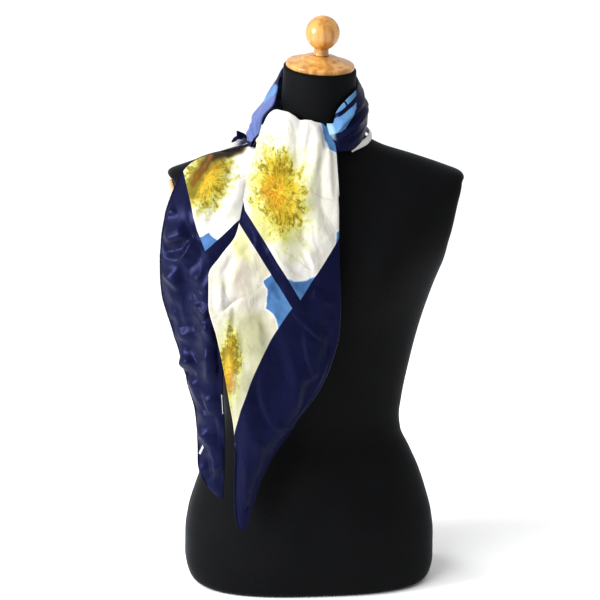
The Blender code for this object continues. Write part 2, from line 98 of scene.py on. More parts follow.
def make_light():
    """One broad light from the left, a small one that draws highlights, two rims and a pale room."""
    sun = bpy.data.lights.new("key", "SUN")
    sun.energy, sun.angle = SUN_STRENGTH, math.radians(SUN_ANGLE)
    key = placed("key", sun)
    key.rotation_euler, key.visible_glossy = facing(SUN_HEADING), False
    for lamp in LAMPS:
        light = bpy.data.lights.new(lamp.name, "AREA")
        light.energy, light.size = lamp.watts, lamp.size
        made = placed(lamp.name, light)
        made.location, made.visible_glossy = lamp.place, lamp.shines
        made.rotation_euler = facing(Vector(lamp.aim) - Vector(lamp.place))
    world = bpy.data.worlds.new("studio")
    world.use_nodes = True
    room = world.node_tree.nodes["Background"].inputs
    room["Color"].default_value, room["Strength"].default_value = ROOM_COLOUR, ROOM_STRENGTH
    bpy.context.scene.world = world
    view = bpy.context.scene.view_settings
    view.view_transform, view.look = "Standard", "Medium High Contrast"


# ---- numbers in a node tree, written as formulas ------------------------------------------------
class Wire:
    """A number that runs through a material's nodes; arithmetic on it adds Math nodes."""

    def __init__(self, graph, socket):
        self.graph, self.socket = graph, socket

    def math(self, operation, *others, clamp=False):
        return self.graph.math(operation, self, *others, clamp=clamp)

    def __add__(self, other):
        return self.math("ADD", other)

    def __sub__(self, other):
        return self.math("SUBTRACT", other)

    def __rsub__(self, other):
        return self.graph.math("SUBTRACT", other, self)

    def __mul__(self, other):
        return self.math("MULTIPLY", other)


class Graph:
    """A material's node tree, with the few kinds of node that these finishes need."""

    def __init__(self, name):
        self.material = bpy.data.materials.new(name)
        self.material.use_nodes = True
        self.tree = self.material.node_tree
        self.shader = self.tree.nodes["Principled BSDF"]

    def node(self, kind, **settings):
        made = self.tree.nodes.new(kind)
        for name, value in settings.items():
            setattr(made, name, value)
        return made

    def plug(self, value, socket):
        if isinstance(value, Wire):
            value = value.socket
        if isinstance(value, bpy.types.NodeSocket):
            self.tree.links.new(value, socket)
        elif value is not None:
            socket.default_value = value

    def feed(self, made, *values):
        """Plugs values into a node's first inputs, and hands back its first output."""
        for value, socket in zip(values, made.inputs):
            self.plug(value, socket)
        return made.outputs[0]

    def math(self, operation, *values, clamp=False):
        made = self.node("ShaderNodeMath", operation=operation, use_clamp=clamp)
        return Wire(self, self.feed(made, *values))

    def vector_math(self, operation, *values):
        return self.feed(self.node("ShaderNodeVectorMath", operation=operation), *values)

    def measure(self, operation, *vectors):
        """A vector operation that gives a number."""
        made = self.node("ShaderNodeVectorMath", operation=operation)
        self.feed(made, *vectors)
        return Wire(self, made.outputs["Value"])

    def scaled(self, vector, factor):
        made = self.node("ShaderNodeVectorMath", operation="SCALE")
        made.inputs["Scale"].default_value = factor
        return self.feed(made, vector)

    def dot(self, vector, direction):
        return self.measure("DOT_PRODUCT", vector, direction)

    def join(self, x, y, z=0.0):
        return self.feed(self.node("ShaderNodeCombineXYZ"), x, y, z)

    def step(self, value, low, high):
        """0 at low and 1 at high, smooth between them, whichever of the two is the greater."""
        made = self.node("ShaderNodeMapRange", interpolation_type="SMOOTHSTEP")
        return Wire(self, self.feed(made, value, low, high))

    def mix(self, share, first, second):
        made = self.node("ShaderNodeMix", data_type="RGBA")
        self.plug(share, made.inputs[0])
        for value, socket in ((first, made.inputs[6]), (second, made.inputs[7])):
            self.plug((*value, 1.0) if isinstance(value, tuple) else value, socket)
        return made.outputs[2]

    def noise(self, vector, scale, detail=2.0, roughness=0.5, distortion=0.0, output=0):
        made = self.node("ShaderNodeTexNoise")
        self.plug(vector, made.inputs["Vector"])
        for name, value in (("Scale", scale), ("Detail", detail), ("Roughness", roughness),
                            ("Distortion", distortion)):
            made.inputs[name].default_value = value
        return Wire(self, made.outputs[output])

    def weave(self, place, across, up):
        """Waves across a place and up it, crossed."""
        return self.dot(place, (across, 0.0, 0.0)).math("SINE") * self.dot(place, (0.0, 0.0, up)).math("SINE")

    def place(self, name):
        """A coordinate of the material: Object, UV or Generated."""
        return self.node("ShaderNodeTexCoord").outputs[name]

    def bump(self, height, distance, strength=1.0, under=None):
        made = self.node("ShaderNodeBump")
        self.plug(height, made.inputs["Height"])
        made.inputs["Distance"].default_value = distance
        made.inputs["Strength"].default_value = strength
        if under is not None:
            self.plug(under, made.inputs["Normal"])
        return made.outputs[0]

    def finish(self, colour, normal=None, **plain):
        """Sets the shader: colour and normal from nodes, everything else as plain values."""
        self.plug((*colour, 1.0) if isinstance(colour, tuple) else colour, self.shader.inputs["Base Color"])
        if normal is not None:
            self.plug(normal, self.shader.inputs["Normal"])
        for name, value in plain.items():
            self.plug(value, self.shader.inputs[name.replace("_", " ")])
        return self.material


# ---- the printed silk --------------------------------------------------------------------------
IVORY = (0.59, 0.58, 0.55)
NAVY = (0.0042, 0.0050, 0.022)
SKY = (0.055, 0.130, 0.27)
PALE_SKY = (0.12, 0.25, 0.41)
MIST = (0.50, 0.66, 0.72)
LEAF_TINT = (0.455, 0.455, 0.26)
# Painted shade: the next three colours dim the cloth along creases and in shaded patches. SHADE_TINT does the
# same below, and also draws the petals' faint shading in the print.
SHADE_TINT = (0.50, 0.455, 0.38)
CREASE_PAINTED_SHADE = (0.30, 0.24, 0.17)
IVORY_PAINTED_SHADE = (0.40, 0.385, 0.31)
LEAF_PAINTED_SHADE = (0.34, 0.335, 0.20)
POLLEN = (0.46, 0.315, 0.010)
LEMON = (0.50, 0.43, 0.045)
ORANGE = (0.46, 0.19, 0.006)
RUST = (0.20, 0.085, 0.005)
OLIVE = (0.145, 0.115, 0.008)
# Painted shadow in the deep fold over the shoulder.
VALLEY_PAINTED_SHADOW = (0.024, 0.015, 0.003)
LIME = (0.40, 0.39, 0.085)
PETAL_RIM = (0.56, 0.60, 0.62)
# Navy lightened as a painted highlight.
NAVY_PAINTED_HIGHLIGHT = (0.098, 0.126, 0.28)      # the left band, which catches the light
KNOT_NAVY = (0.016, 0.021, 0.070)
PRINT_EDGE = 0.45                    # how soft an edge of the print is
WANDER_SCALE, WANDER = 0.055, 7.0    # how tightly and how far a loose outline strays
PETALS, PETAL_WIDTH = 5, 0.46        # petals of a flower, and half their width for each millimetre of reach
TWILL, TWILL_HEIGHT, CRUMPLE_HEIGHT = (2.3, 2.3, 0.0), 0.00002, 0.0011    # ribs a mm; heights in metres
SHINE_TINT = (0.36, 0.41, 1.0, 1.0)

# A blossom's place, its half sizes, its turn in degrees, the share of it that is orange, how far the orange
# heart lies off its middle and how much olive lies over it.
Blossom = namedtuple("Blossom", "x z across along turn core heart_x heart_z gloom", defaults=(0.0, 0.0, 0.0))


class SilkPrint(Graph):
    """The scarf's print, laid out on the cloth by its UV map, which holds places in metres.

    It is a generic design in colours and at a scale like the photo's: plain five-petalled flowers with bursts
    of stamens, on sky blue, in panes between navy bars and a navy border, with painted shade in soft patches
    and along crease lines. Bursts, bars, border, the painted shade and the painted crease lines lie roughly
    where the photo's do; the petals and the sky patches don't follow it.
    """

    def __init__(self, name, ground=None):
        super().__init__(name)
        uv = self.node("ShaderNodeUVMap", uv_map="print")
        self.spot = self.scaled(uv.outputs[0], 1 / MM)
        wander = self.noise(self.spot, WANDER_SCALE, output="Color")
        shift = self.vector_math("SUBTRACT", wander, (0.5, 0.5, 0.5))
        self.loose = self.vector_math("ADD", self.spot, self.scaled(shift, WANDER))
        self.colour = self.ivory() if ground is None else ground

    def ivory(self):
        """Ivory with the faint shading of broad petals."""
        veins = self.noise(self.scaled(self.loose, 0.035), 1.0, 3.0, 0.55, 0.6)
        shade = self.mix(self.step(veins, 0.50, 0.72) * 0.22, IVORY, SHADE_TINT)
        patch = self.noise(self.scaled(self.loose, 0.022), 1.0, 1.0)
        return self.mix(self.step(patch, 0.52, 0.75) * 0.25, shade, LEAF_TINT)

    def paint(self, share, colour):
        self.colour = self.mix(share, self.colour, colour)

    def beside(self, start, end, loose=False, sag=0.0):
        """Distance to the left of the line from start to end, each (x, z); sag bows the line to its left."""
        (ax, az), (bx, bz) = start, end
        length = math.hypot(bx - ax, bz - az)
        across = (-(bz - az) / length, (bx - ax) / length, 0.0)
        spot = self.loose if loose else self.spot
        off = self.dot(spot, across) - (ax * across[0] + az * across[1])
        if sag:
            along = ((bx - ax) / length ** 2, (bz - az) / length ** 2, 0.0)
            part = self.dot(spot, along).math("SUBTRACT", ax * along[0] + az * along[1], clamp=True)
            off = off - part * (1.0 - part) * (4 * sag)
        return off

    def inside(self, distance, soft=PRINT_EDGE):
        return self.step(distance, -soft, soft)

    def region(self, corners, loose=False, soft=PRINT_EDGE):
        """Inside a convex outline, whose corners run anticlockwise."""
        depth = None
        for k, corner in enumerate(corners):
            side = self.beside(corner, corners[(k + 1) % len(corners)], loose)
            depth = side if depth is None else depth.math("SMOOTH_MIN", side, 3.0 if loose else 0.5)
        return self.inside(depth, soft)

    def bar(self, start, end, width, colour=NAVY, soft=PRINT_EDGE, share=1.0, loose=False):
        """A bar of the print from start to end; a loose one wanders a little."""
        length = math.hypot(end[0] - start[0], end[1] - start[1])
        middle = ((start[0] + end[0]) / 2, (start[1] + end[1]) / 2)
        along = ((end[0] - start[0]) / length, (end[1] - start[1]) / length, 0.0)
        off = self.beside(start, end, loose).math("ABSOLUTE")
        run = (self.dot(self.spot, along) - (middle[0] * along[0] + middle[1] * along[1])).math("ABSOLUTE")
        self.paint(self.inside(width / 2 - off, soft) * self.inside(length / 2 - run, soft) * share, colour)

    def bars(self, ends, width, colour, soft, share):
        """Loose bars of one kind, each from its start to its end."""
        for start, end in ends:
            self.bar(start, end, width, colour, soft, share, loose=True)

    def patch(self, corners, soft, share, colour):
        """A patch of colour inside a loose convex outline."""
        self.paint(self.region(corners, loose=True, soft=soft) * share, colour)

    def blossom(self, flower):
        """A burst of stamens: soft strokes run out from an orange heart, darker half-way, with a lime rim."""
        half = (flower.across, flower.along, flower.turn)
        plain = self.oval(self.spot, flower.x, flower.z, *half)
        out = self.measure("LENGTH", plain)
        heading = self.vector_math("NORMALIZE", plain)
        east, north = self.dot(heading, (1, 0, 0)), self.dot(heading, (0, 1, 0))
        strokes = self.noise(self.join(east, north, out * 0.5), 3.6, 3.0, 0.65, 0.8)
        fine = self.noise(self.join(east, north, out * 0.35), 8.5, 2.0, 0.6, 0.5)
        grain = self.noise(self.spot, 0.26, 3.0, 0.6, 0.6)
        clump = self.noise(self.spot, 0.075, 3.0, 0.6, 0.8)
        ragged = out - (strokes - 0.5) * 1.5 - (grain - 0.5) * 0.9 - (clump - 0.5) * 0.9
        self.paint(self.step(ragged, 1.75, 0.95) * 0.75, LEAF_TINT)
        self.paint(self.step(ragged, 1.45, 0.95) * 0.90, LIME)
        yellow = self.mix(self.step(fine * 0.5 + grain * 0.5, 0.42, 0.60), POLLEN, LEMON)
        self.paint(self.step(ragged, 1.08, 0.70) * 0.92, yellow)
        ring = self.step(out, 0.22, 0.55) * self.step(ragged, 1.12, 0.86)
        dark = self.step(fine * 0.35 + clump * 0.35 + grain * 0.3 + flower.gloom * 0.05, 0.465, 0.60)
        self.paint(dark * ring * 0.88, OLIVE)
        heart = self.oval(self.spot, flower.x + flower.heart_x, flower.z + flower.heart_z, *half)
        heart = self.measure("LENGTH", heart) - (grain - 0.5) * 0.5 - (clump - 0.5) * 0.7
        heart = self.step(heart, flower.core * 1.25, flower.core * 0.55)
        self.paint(heart * self.step(fine * 0.4 + grain * 0.6, 0.60, 0.44) * 0.80, ORANGE)
        veins = self.step((strokes - 0.5).math("ABSOLUTE"), 0.030, 0.006) * self.step(out, 0.08, 0.25)
        self.paint(veins * self.step(ragged, 0.95, 0.70) * 0.70, RUST)
        nicks = self.step(fine * 0.6 + grain * 0.4, 0.44, 0.36) * self.step(ragged, 0.85, 0.65)
        self.paint(nicks * 0.75, OLIVE)
        specks = self.step(grain, 0.60, 0.68) * self.step(ragged, 0.90, 1.05) * self.step(out, 1.25, 1.0)
        self.paint(specks * 0.65, OLIVE)

    def oval(self, spot, x, z, across, along, turn):
        """Places seen from x, z, measured in an oval's half sizes and turned by turn, in degrees."""
        centre = self.vector_math("SUBTRACT", spot, (x, z, 0.0))
        cos, sin = math.cos(math.radians(turn)), math.sin(math.radians(turn))
        side = self.dot(centre, (cos / across, sin / across, 0.0))
        return self.join(side, self.dot(centre, (-sin / along, cos / along, 0.0)))

    def petal(self, x, z, across, along, turn):
        """Above 0 inside a round petal, with a slightly wavy edge."""
        return 1.0 - self.measure("LENGTH", self.oval(self.loose, x, z, across, along, turn))

    def rosette(self, x, z, reach, turn):
        """Above 0 inside a plain flower: evenly turned round petals that run from x, z out to reach."""
        edge = self.petal(x, z, reach * 0.35, reach * 0.35, 0.0)
        for k in range(PETALS):
            angle = turn + 360.0 * k / PETALS
            lean = math.radians(angle)
            middle = (x - math.sin(lean) * reach / 2, z + math.cos(lean) * reach / 2)
            edge = edge.math("MAXIMUM", self.petal(*middle, PETAL_WIDTH * reach, reach / 2, angle))
        return edge

    def on_sky(self, *rosettes):
        """Keeps the colours so far inside the flowers, with sky-blue round them and a thin pale rim."""
        edge = self.rosette(*rosettes[0])
        for place in rosettes[1:]:
            edge = edge.math("MAXIMUM", self.rosette(*place))
        petals = self.colour
        self.colour = self.mix(self.step(self.noise(self.spot, 0.03), 0.4, 0.65) * 0.45, SKY, PALE_SKY)
        self.paint(self.step(edge, -0.03, 0.02), PETAL_RIM)
        self.paint(self.step(edge, 0.0, 0.05), petals)

    def silk(self, roughness=0.42, gloss=0.24, crumple=1.0):
        """The cloth itself: a fine twill, pressed-in crease lines and a soft satin shine."""
        ribs = self.dot(self.spot, TWILL).math("MULTIPLY", 2 * math.pi).math("SINE")
        fine = self.bump(ribs, TWILL_HEIGHT, 0.5)
        line = (self.noise(self.spot, 0.026, 2.0, 0.55, 0.8) - 0.5).math("ABSOLUTE")
        height = self.noise(self.spot, 0.085, 3.0, 0.5) * 0.55 + self.step(line, 0.0, 0.045) * 0.16
        creased = self.bump(height, CRUMPLE_HEIGHT * crumple, 0.6, fine)
        return self.finish(self.colour, creased, Roughness=roughness, Specular_IOR_Level=gloss,
                           Specular_Tint=SHINE_TINT)


# ---- smooth curves through short tables --------------------------------------------------------
def curve(values, at, places=None):
    """Monotone cubic through values at places (0, 1, 2 ... if none), read at an array of places."""
    values = np.asarray(values, float)
    places = np.arange(len(values), dtype=float) if places is None else np.asarray(places, float)
    gaps = np.diff(places)
    steps = np.diff(values) / gaps
    slopes = np.zeros(len(values))
    slopes[0], slopes[-1] = steps[0], steps[-1]
    for i in range(1, len(steps)):
        if steps[i - 1] * steps[i] > 0:
            w1, w2 = 2 * gaps[i] + gaps[i - 1], gaps[i] + 2 * gaps[i - 1]
            slopes[i] = (w1 + w2) / (w1 / steps[i - 1] + w2 / steps[i])
    at = np.asarray(at, float)
    i = np.clip(np.searchsorted(places, at) - 1, 0, len(gaps) - 1)
    t = np.clip((at - places[i]) / gaps[i], 0.0, 1.0)
    return ((1 + 2 * t) * (1 - t) ** 2 * values[i] + t * (1 - t) ** 2 * gaps[i] * slopes[i]
            + t * t * (3 - 2 * t) * values[i + 1] + t * t * (t - 1) * gaps[i] * slopes[i + 1])


def column(rows, name, at):
    return curve([getattr(row, name) for row in rows], at)


def ease(t):
    t = np.clip(t, 0.0, 1.0)
    return t * t * (3 - 2 * t)


def table(kind, *rows):
    """Rows of numbers under the column names of a namedtuple."""
    return [kind(*row) for row in rows]


# ---- the dress form ----------------------------------------------------------------------------
Ring = namedtuple("Ring", "height half_width front back squareness")
FORM_RINGS = table(Ring,
    (0, 153, 97, 104, 2.75), (4, 161, 103, 112, 2.75), (12, 166, 107, 118, 2.70),
    (30, 169.5, 111, 122, 2.55), (60, 169.5, 113, 124, 2.40), (90, 166, 112, 122, 2.35),
    (120, 158, 107, 115, 2.25), (150, 147.5, 100, 105, 2.20), (180, 133.5, 91, 94, 2.15),
    (205, 121.5, 84, 85, 2.10), (226, 119, 82, 81, 2.10), (250, 121.5, 84, 81, 2.10),
    (300, 130, 93, 86, 2.15), (350, 141, 102, 92, 2.20), (400, 156, 109, 96, 2.25),
    (440, 172, 110, 98, 2.30), (480, 192, 104, 98, 2.35), (515, 202, 92, 94, 2.35),
    (538, 212, 78, 86, 2.30), (550, 203, 71, 80, 2.25), (562, 173, 65, 75, 2.15), (576, 130, 60, 70, 2.05),
    (590, 84, 57, 66, 2.00), (604, 60, 55, 62, 2.00), (620, 52, 53, 57, 2.00), (650, 48.5, 52, 53, 2.00),
    (688, 47, 52, 52, 2.00),
)
RING_HEIGHTS = [ring.height for ring in FORM_RINGS]
NECK_TOP, NECK_LEAN_FROM, NECK_LEAN = 688.0, 590.0, 10.0
NECK_TOP_TILT, NECK_SIDE_TILT = math.radians(12.0), math.radians(1.5)
ARMHOLE_X, ARMHOLE_Z, ARMHOLE_SLOPE = 189.5, 544.0, 0.22
ARMHOLE_END, ARMHOLE_FADE, ARMHOLE_FLARE, UNCUT = 470.0, 60.0, 20.0, 1000.0
PLATE_THICK, PLATE_MID_Y, PLATE_MID_Z = 5.5, 12.0, 512.0
SHOULDER_LIP, LIP_FROM, LIP_HEIGHT, SHOULDER_ROUND = 5.0, 541.0, 8.0, 14.0
BUST_X, BUST_Z, BUST_WIDTH, BUST_HEIGHT, BUST_RISE = 74.0, 438.0, 44.0, 42.0, 30.0
CLOTH_WALL, REST_GAP, REST_BLEND = 1.6, 0.8, 3.0


def ring_size(name, z):
    return curve([getattr(ring, name) for ring in FORM_RINGS], z, RING_HEIGHTS)


def neck_lean(z):
    return ease((z - NECK_LEAN_FROM) / (NECK_TOP - NECK_LEAN_FROM))


def bust(x, z):
    height = (z - BUST_Z) / BUST_HEIGHT
    across = [(x - side * BUST_X) / BUST_WIDTH for side in (-1, 1)]
    return BUST_RISE * sum(np.exp(-0.5 * (offset ** 2 + height ** 2)) for offset in across)


def cut_side(across, z):
    """A distance from the axis, cut off softly where the armhole is."""
    lip = SHOULDER_LIP * ease((z - LIP_FROM) / LIP_HEIGHT)
    limit = ARMHOLE_X + (z - ARMHOLE_Z) * ARMHOLE_SLOPE + lip
    flare = ARMHOLE_FLARE * ease((ARMHOLE_END - z) / ARMHOLE_FADE)
    limit = np.where(z < ARMHOLE_END - ARMHOLE_FADE, UNCUT, limit + flare)
    apart = np.maximum(SHOULDER_ROUND - np.abs(across - limit), 0.0) / SHOULDER_ROUND
    return np.minimum(across, limit) - apart * apart * SHOULDER_ROUND * 0.25


def form_front(x, z):
    """The y of the form's front at x and z, or a place far behind it where the form isn't as wide."""
    half_width, squareness = ring_size("half_width", z), ring_size("squareness", z)
    off = (np.abs(x) >= cut_side(half_width, z)) | (z > NECK_TOP)
    depth = (1 - np.clip(np.abs(x) / half_width, 0, 0.9999) ** squareness) ** (1 / squareness)
    forward = ring_size("front", z) * depth + bust(x, z) * depth ** (0.6 * squareness)
    return np.where(off, 200.0, -forward - NECK_LEAN * neck_lean(z))


def form_point(turn, z):
    """Points of the form's outline at heights z and angles turn."""
    half_width, front, back, squareness = (ring_size(name, z) for name in Ring._fields[1:])
    across, along = np.cos(turn), np.sin(turn)
    x = half_width * np.sign(across) * np.abs(across) ** (2 / squareness)
    y = np.where(along < 0, front, back) * np.sign(along) * np.abs(along) ** (2 / squareness)
    y = np.where(along < 0, y - bust(x, z) * np.abs(along) ** 1.2, y)
    x = np.sign(x) * cut_side(np.abs(x), z)
    lean = neck_lean(z)
    y = y - NECK_LEAN * lean
    tilt = (y + NECK_LEAN) * math.tan(NECK_TOP_TILT) - x * math.tan(NECK_SIDE_TILT)
    return np.stack([x, y, z + lean * tilt], -1)


# ---- meshes ------------------------------------------------------------------------------------
def grid_object(name, points, uv=None, closed=False):
    """A mesh through a grid of points in millimetres, shaded smooth, with a UV map where one is given."""
    rows, columns = points.shape[:2]
    r, c = np.meshgrid(np.arange(rows - 1), np.arange(columns if closed else columns - 1), indexing="ij")
    after = (c + 1) % columns
    here, below = r * columns, (r + 1) * columns
    faces = np.stack([here + c, below + c, below + after, here + after], -1)
    mesh = bpy.data.meshes.new(name)
    mesh.from_pydata((points.reshape(-1, 3) * MM).tolist(), [], faces.reshape(-1, 4).tolist())
    if uv is not None:
        layer = mesh.uv_layers.new(name="print")
        corners = np.empty(len(mesh.loops), dtype=np.int32)
        mesh.loops.foreach_get("vertex_index", corners)
        layer.data.foreach_set("uv", (uv.reshape(-1, 2) * MM)[corners].astype(np.float32).ravel())
    mesh.shade_smooth()
    return placed(name, mesh)


def dress(obj, finish, slot_name, *replaced):
    """Gives a piece its finish and its body, and hides the solids that it stands for."""
    obj.data.materials.clear()
    obj.data.materials.append(finish)
    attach(obj, "root")
    if replaced:
        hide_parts(*replaced)
    return obj


def shell(obj, thick):
    """Makes a sheet of faces into cloth, thick millimetres through."""
    made = obj.modifiers.new("cloth", "SOLIDIFY")
    made.thickness, made.offset, made.use_even_offset = thick * MM, 0.0, False
    return obj


def normals_of(points):
    """Unit normals of a grid, towards the side that its columns' and rows' turn faces."""
    down, across = np.gradient(points, axis=0), np.gradient(points, axis=1)
    normal = np.cross(down, across)
    return normal / np.maximum(np.linalg.norm(normal, axis=-1, keepdims=True), 1e-9)


# ---- creases -----------------------------------------------------------------------------------
# A crease runs from one place on a stretch to another, in the plane that is seen from the front (x, z).
# Its height is out of the cloth, a trough's is negative. sag bends it sideways, side makes one flank steeper.
Crease = namedtuple("Crease", "from_x from_z to_x to_z width height sag side", defaults=(0.0, 0.0))


def crease_height(creases, x, z):
    """The lift of all the creases at the places x, z."""
    height = np.zeros_like(x)
    for c in creases:
        run = np.array([c.to_x - c.from_x, c.to_z - c.from_z])
        length = np.hypot(*run)
        along = ((x - c.from_x) * run[0] + (z - c.from_z) * run[1]) / length ** 2
        away = ((x - c.from_x) * -run[1] + (z - c.from_z) * run[0]) / length
        away = away - c.sag * 4 * along * (1 - along)
        width = c.width * (1 + c.side * np.tanh(away / c.width))
        taper = ease(along / 0.35) * ease((1 - along) / 0.35)
        height += c.height * taper * np.exp(1.2 - 1.2 * np.sqrt(1 + 2.2 * (away / width) ** 2))
    return height


def scattered(count, x_range, z_range, angle, spread, length, width, height):
    """Small creases strewn over a region: angle is in degrees from +X, the others are (least, most)."""
    made = []
    for _ in range(count):
        x, z = RNG.uniform(*x_range), RNG.uniform(*z_range)
        turn = math.radians(angle + RNG.normal(0, spread))
        half = RNG.uniform(*length) / 2
        dx, dz = math.cos(turn) * half, math.sin(turn) * half
        lift = RNG.uniform(*height) * RNG.choice((-1, 1))
        made.append(Crease(x - dx, z - dz, x + dx, z + dz, RNG.uniform(*width), lift,
                           RNG.normal(0, half * 0.12), RNG.uniform(-0.5, 0.5)))
    return made


# ---- the hanging stretches ----------------------------------------------------------------------
Section = namedtuple("Section", "left_x left_z left_y right_x right_z right_y belly rise")
CREST_AT = 0.22
Fold = namedtuple("Fold", "from_u from_v to_u to_v half_width height")
FRONT_SECTIONS = table(Section,
    (-80, 615, -37, 5, 616, -58, 7, 20), (-85, 596, -47, 6, 605, -66, 11, 7),
    (-90, 576, -62, 9, 588, -78, 10, 0), (-100, 545, -86, 8.5, 559, -100, 9, 0),
    (-108, 513, -107, 8.5, 524, -120, 10, 0), (-116, 487, -122, 7.2, 492, -134, 10, 0),
    (-136, 462, -134, 7.5, 456, -143, 9, 0), (-151, 438, -139, 9, 421, -147, 8, 0),
    (-151, 402, -141, 9.6, 393, -148, 8, 0), (-141, 363, -142, 8.5, 364, -148, 8, 0),
    (-132, 322, -142, 0.5, 330, -148, 9, 0), (-125, 284, -142, -15.6, 291, -147, 9, 0),
    (-118, 244, -141, -46, 248, -146, 9, 0), (-115, 213, -140, -73, 209, -144, 8, 0),
    (-115.5, 175, -139, -88, 176, -142, 6, 0), (-115, 138, -138, -99, 138, -140, 3, 0),
    (-110, 110, -137, -107, 109, -137.5, 0, 0),
)
SHOULDER_SECTIONS = table(Section,
    (-92, 587.5, -28, -78, 587.5, -42, 1, 0), (-128, 580, -20, -83, 574, -50, 3, 2),
    (-153, 573, -22, -90, 557, -62, 5, 3), (-174, 561, -32, -96, 538, -80, 8, 3),
    (-188, 540, -50, -103, 515, -98, 8, 0), (-200, 512, -66, -109, 489, -113, 8, 0),
    (-207, 476, -74, -118, 462, -122, 10, 0), (-209, 442, -78, -125, 431, -127, 12, 0),
    (-207, 407, -80, -130, 400, -129, 12, 0), (-196.5, 369, -85, -133, 362, -130, 12, 0),
    (-183.5, 328, -93, -134, 323, -131, 10, 0), (-174, 290, -99, -133, 284, -130, 8, 0),
    (-165.5, 258, -102, -131, 252, -129, 8, 0), (-162, 222, -105, -130, 219, -128, 6, 0),
    (-162, 195, -110, -130, 187, -127, 5, 0), (-154.5, 168, -117, -130.5, 164, -126, 3, 0),
    (-137, 150, -124, -131.5, 148, -125.5, 0, 0),
)
UNDER_SECTIONS = table(Section,
    (-72, 586, -46, -10, 586, -58, 2, 0), (-82, 540, -70, -12, 540, -86, 3, 0),
    (-88, 490, -104, -14, 490, -114, 3, 0), (-90, 438, -126, -16, 438, -130, 3, 0),
    (-94, 380, -133, -18, 380, -135, 3, 0), (-96, 320, -133, -30, 320, -135, 3, 0),
    (-98, 262, -133, -54, 262, -134, 3, 0), (-98, 215, -132, -74, 215, -133, 2, 0),
    (-95, 186, -132, -87, 186, -132, 0, 0),
)
FRONT_FOLDS = table(Fold,
    (0.92, 0.6, 0.62, 4, 11, 4), (0.80, 0.5, 0.42, 3.4, 9, -3), (0.10, 0.4, 0.30, 4.5, 12, 3.5),
    (0.35, 4, 0.72, 8.5, 13, 4), (0.30, 6, 0.55, 12, 14, -3.5), (0.86, 7, 0.70, 13, 12, 3.5),
    (0.12, 8, 0.25, 14, 10, 3),
)
SHOULDER_FOLDS = table(Fold,
    (0.80, 0.5, 0.62, 4.5, 11, -4), (0.45, 0.8, 0.38, 6, 14, 4), (0.15, 2, 0.20, 9, 12, 4),
    (0.36, 6, 0.42, 12, 11, -3.5), (0.60, 7, 0.62, 14.5, 11, 3.5), (0.16, 9.5, 0.25, 14.5, 8, 3),
)
UNDER_FOLDS = table(Fold,
    (0.30, 2, 0.35, 7, 12, 2.5), (0.75, 3.5, 0.70, 7, 10, -2.5),
)

# An edge turned under: the sections it runs between, how its length grows with its turn, what is left of the
# curl and the lip where it isn't turned, the curl's radius and how far the lip runs back behind the stretch.
Turn = namedtuple("Turn", "from_v to_v power least_curl least_lip radius back")
RIGHT_TURN = Turn(3.3, 12.4, 2, 2.7, 1.8, 3.0, 12.0)
LEFT_TURN = Turn(0.6, 13.2, 1, 1.0, 1.0, 1.6, 7.0)


def fold_height(folds, u, v, width):
    height = np.zeros_like(u)
    for fold in folds:
        t = (v - fold.from_v) / (fold.to_v - fold.from_v)
        ridge_u = fold.from_u + (fold.to_u - fold.from_u) * t
        away = (u - ridge_u) * width / fold.half_width
        height += fold.height * np.exp(-away * away) * np.sin(math.pi * np.clip(t, 0, 1)) ** 0.6
    return height


def laid_on_form(x, y, z):
    """The y of cloth that would hang at y, eased on to the form where it would cut in."""
    limit = form_front(x, z) - REST_GAP - 0.5 * CLOTH_WALL
    apart = np.maximum(REST_BLEND - np.abs(y - limit), 0.0) / REST_BLEND
    return np.minimum(y, limit) - apart * apart * REST_BLEND * 0.25


def keep_off_form(points):
    points[..., 1] = laid_on_form(*np.moveaxis(points, -1, 0))


def hung_grid(sections, folds, rows, columns):
    """The solid's middle surface, finer: rows + 1 rows of columns + 1 points.

    The print's places go with it: as the cloth lies before it is creased, seen from the front.
    """
    v = np.linspace(0, len(sections) - 1, rows + 1)[:, None] * np.ones(columns + 1)
    u = np.linspace(0, 1, columns + 1)[None, :] * np.ones((rows + 1, 1))
    left = np.stack([column(sections, name, v) for name in ("left_x", "left_y", "left_z")])
    right = np.stack([column(sections, name, v) for name in ("right_x", "right_y", "right_z")])
    x, y, z = left + (right - left) * u
    z = z + column(sections, "rise", v) * u / CREST_AT * np.exp(1 - u / CREST_AT)
    y = y - column(sections, "belly", v) * 4 * u * (1 - u) - fold_height(folds, u, v, (right - left)[0])
    points = np.stack([x, laid_on_form(x, y, z), z], -1)
    return points, points[..., [0, 2]], u, v


def turned_under(v, edge, steps=8):
    """Steps beyond a +X edge, round a curl and back behind it, and how far along the cloth each lies."""
    share = (ease(v[:, 0] - edge.from_v) * ease(edge.to_v - v[:, 0]))[:, None]
    length = edge.least_curl + (math.pi * edge.radius - edge.least_curl) * share ** edge.power
    beyond = edge.least_lip + (edge.back - edge.least_lip) * share ** edge.power
    turn = np.maximum(math.pi * share, 0.01)
    part = np.linspace(0, 1, steps + 1)[None, 1:]
    flat = np.zeros_like(turn * part)
    across, behind = length * np.sin(turn * part) / turn, length * (1 - np.cos(turn * part)) / turn
    curl = np.stack([across, behind, flat], -1)
    lip = np.stack([beyond * part * np.cos(turn), beyond * part * np.sin(turn), flat], -1)
    run = np.concatenate([length * part, length + beyond * part], axis=1)
    return np.concatenate([curl, curl[:, -1:] + lip], axis=1), run


def turned_right(points, uv, v):
    """Turns the +X edge under; the print runs on by the distance between the points."""
    added = points[:, -1:] + turned_under(v, RIGHT_TURN)[0]
    gaps = np.diff(np.concatenate([points[:, -1:], added], axis=1), axis=1)
    run = np.linalg.norm(gaps, axis=-1).cumsum(axis=1)
    places = np.stack([uv[:, -1:, 0] + run, np.repeat(uv[:, -1:, 1], run.shape[1], axis=1)], -1)
    return np.concatenate([points, added], axis=1), np.concatenate([uv, places], axis=1)


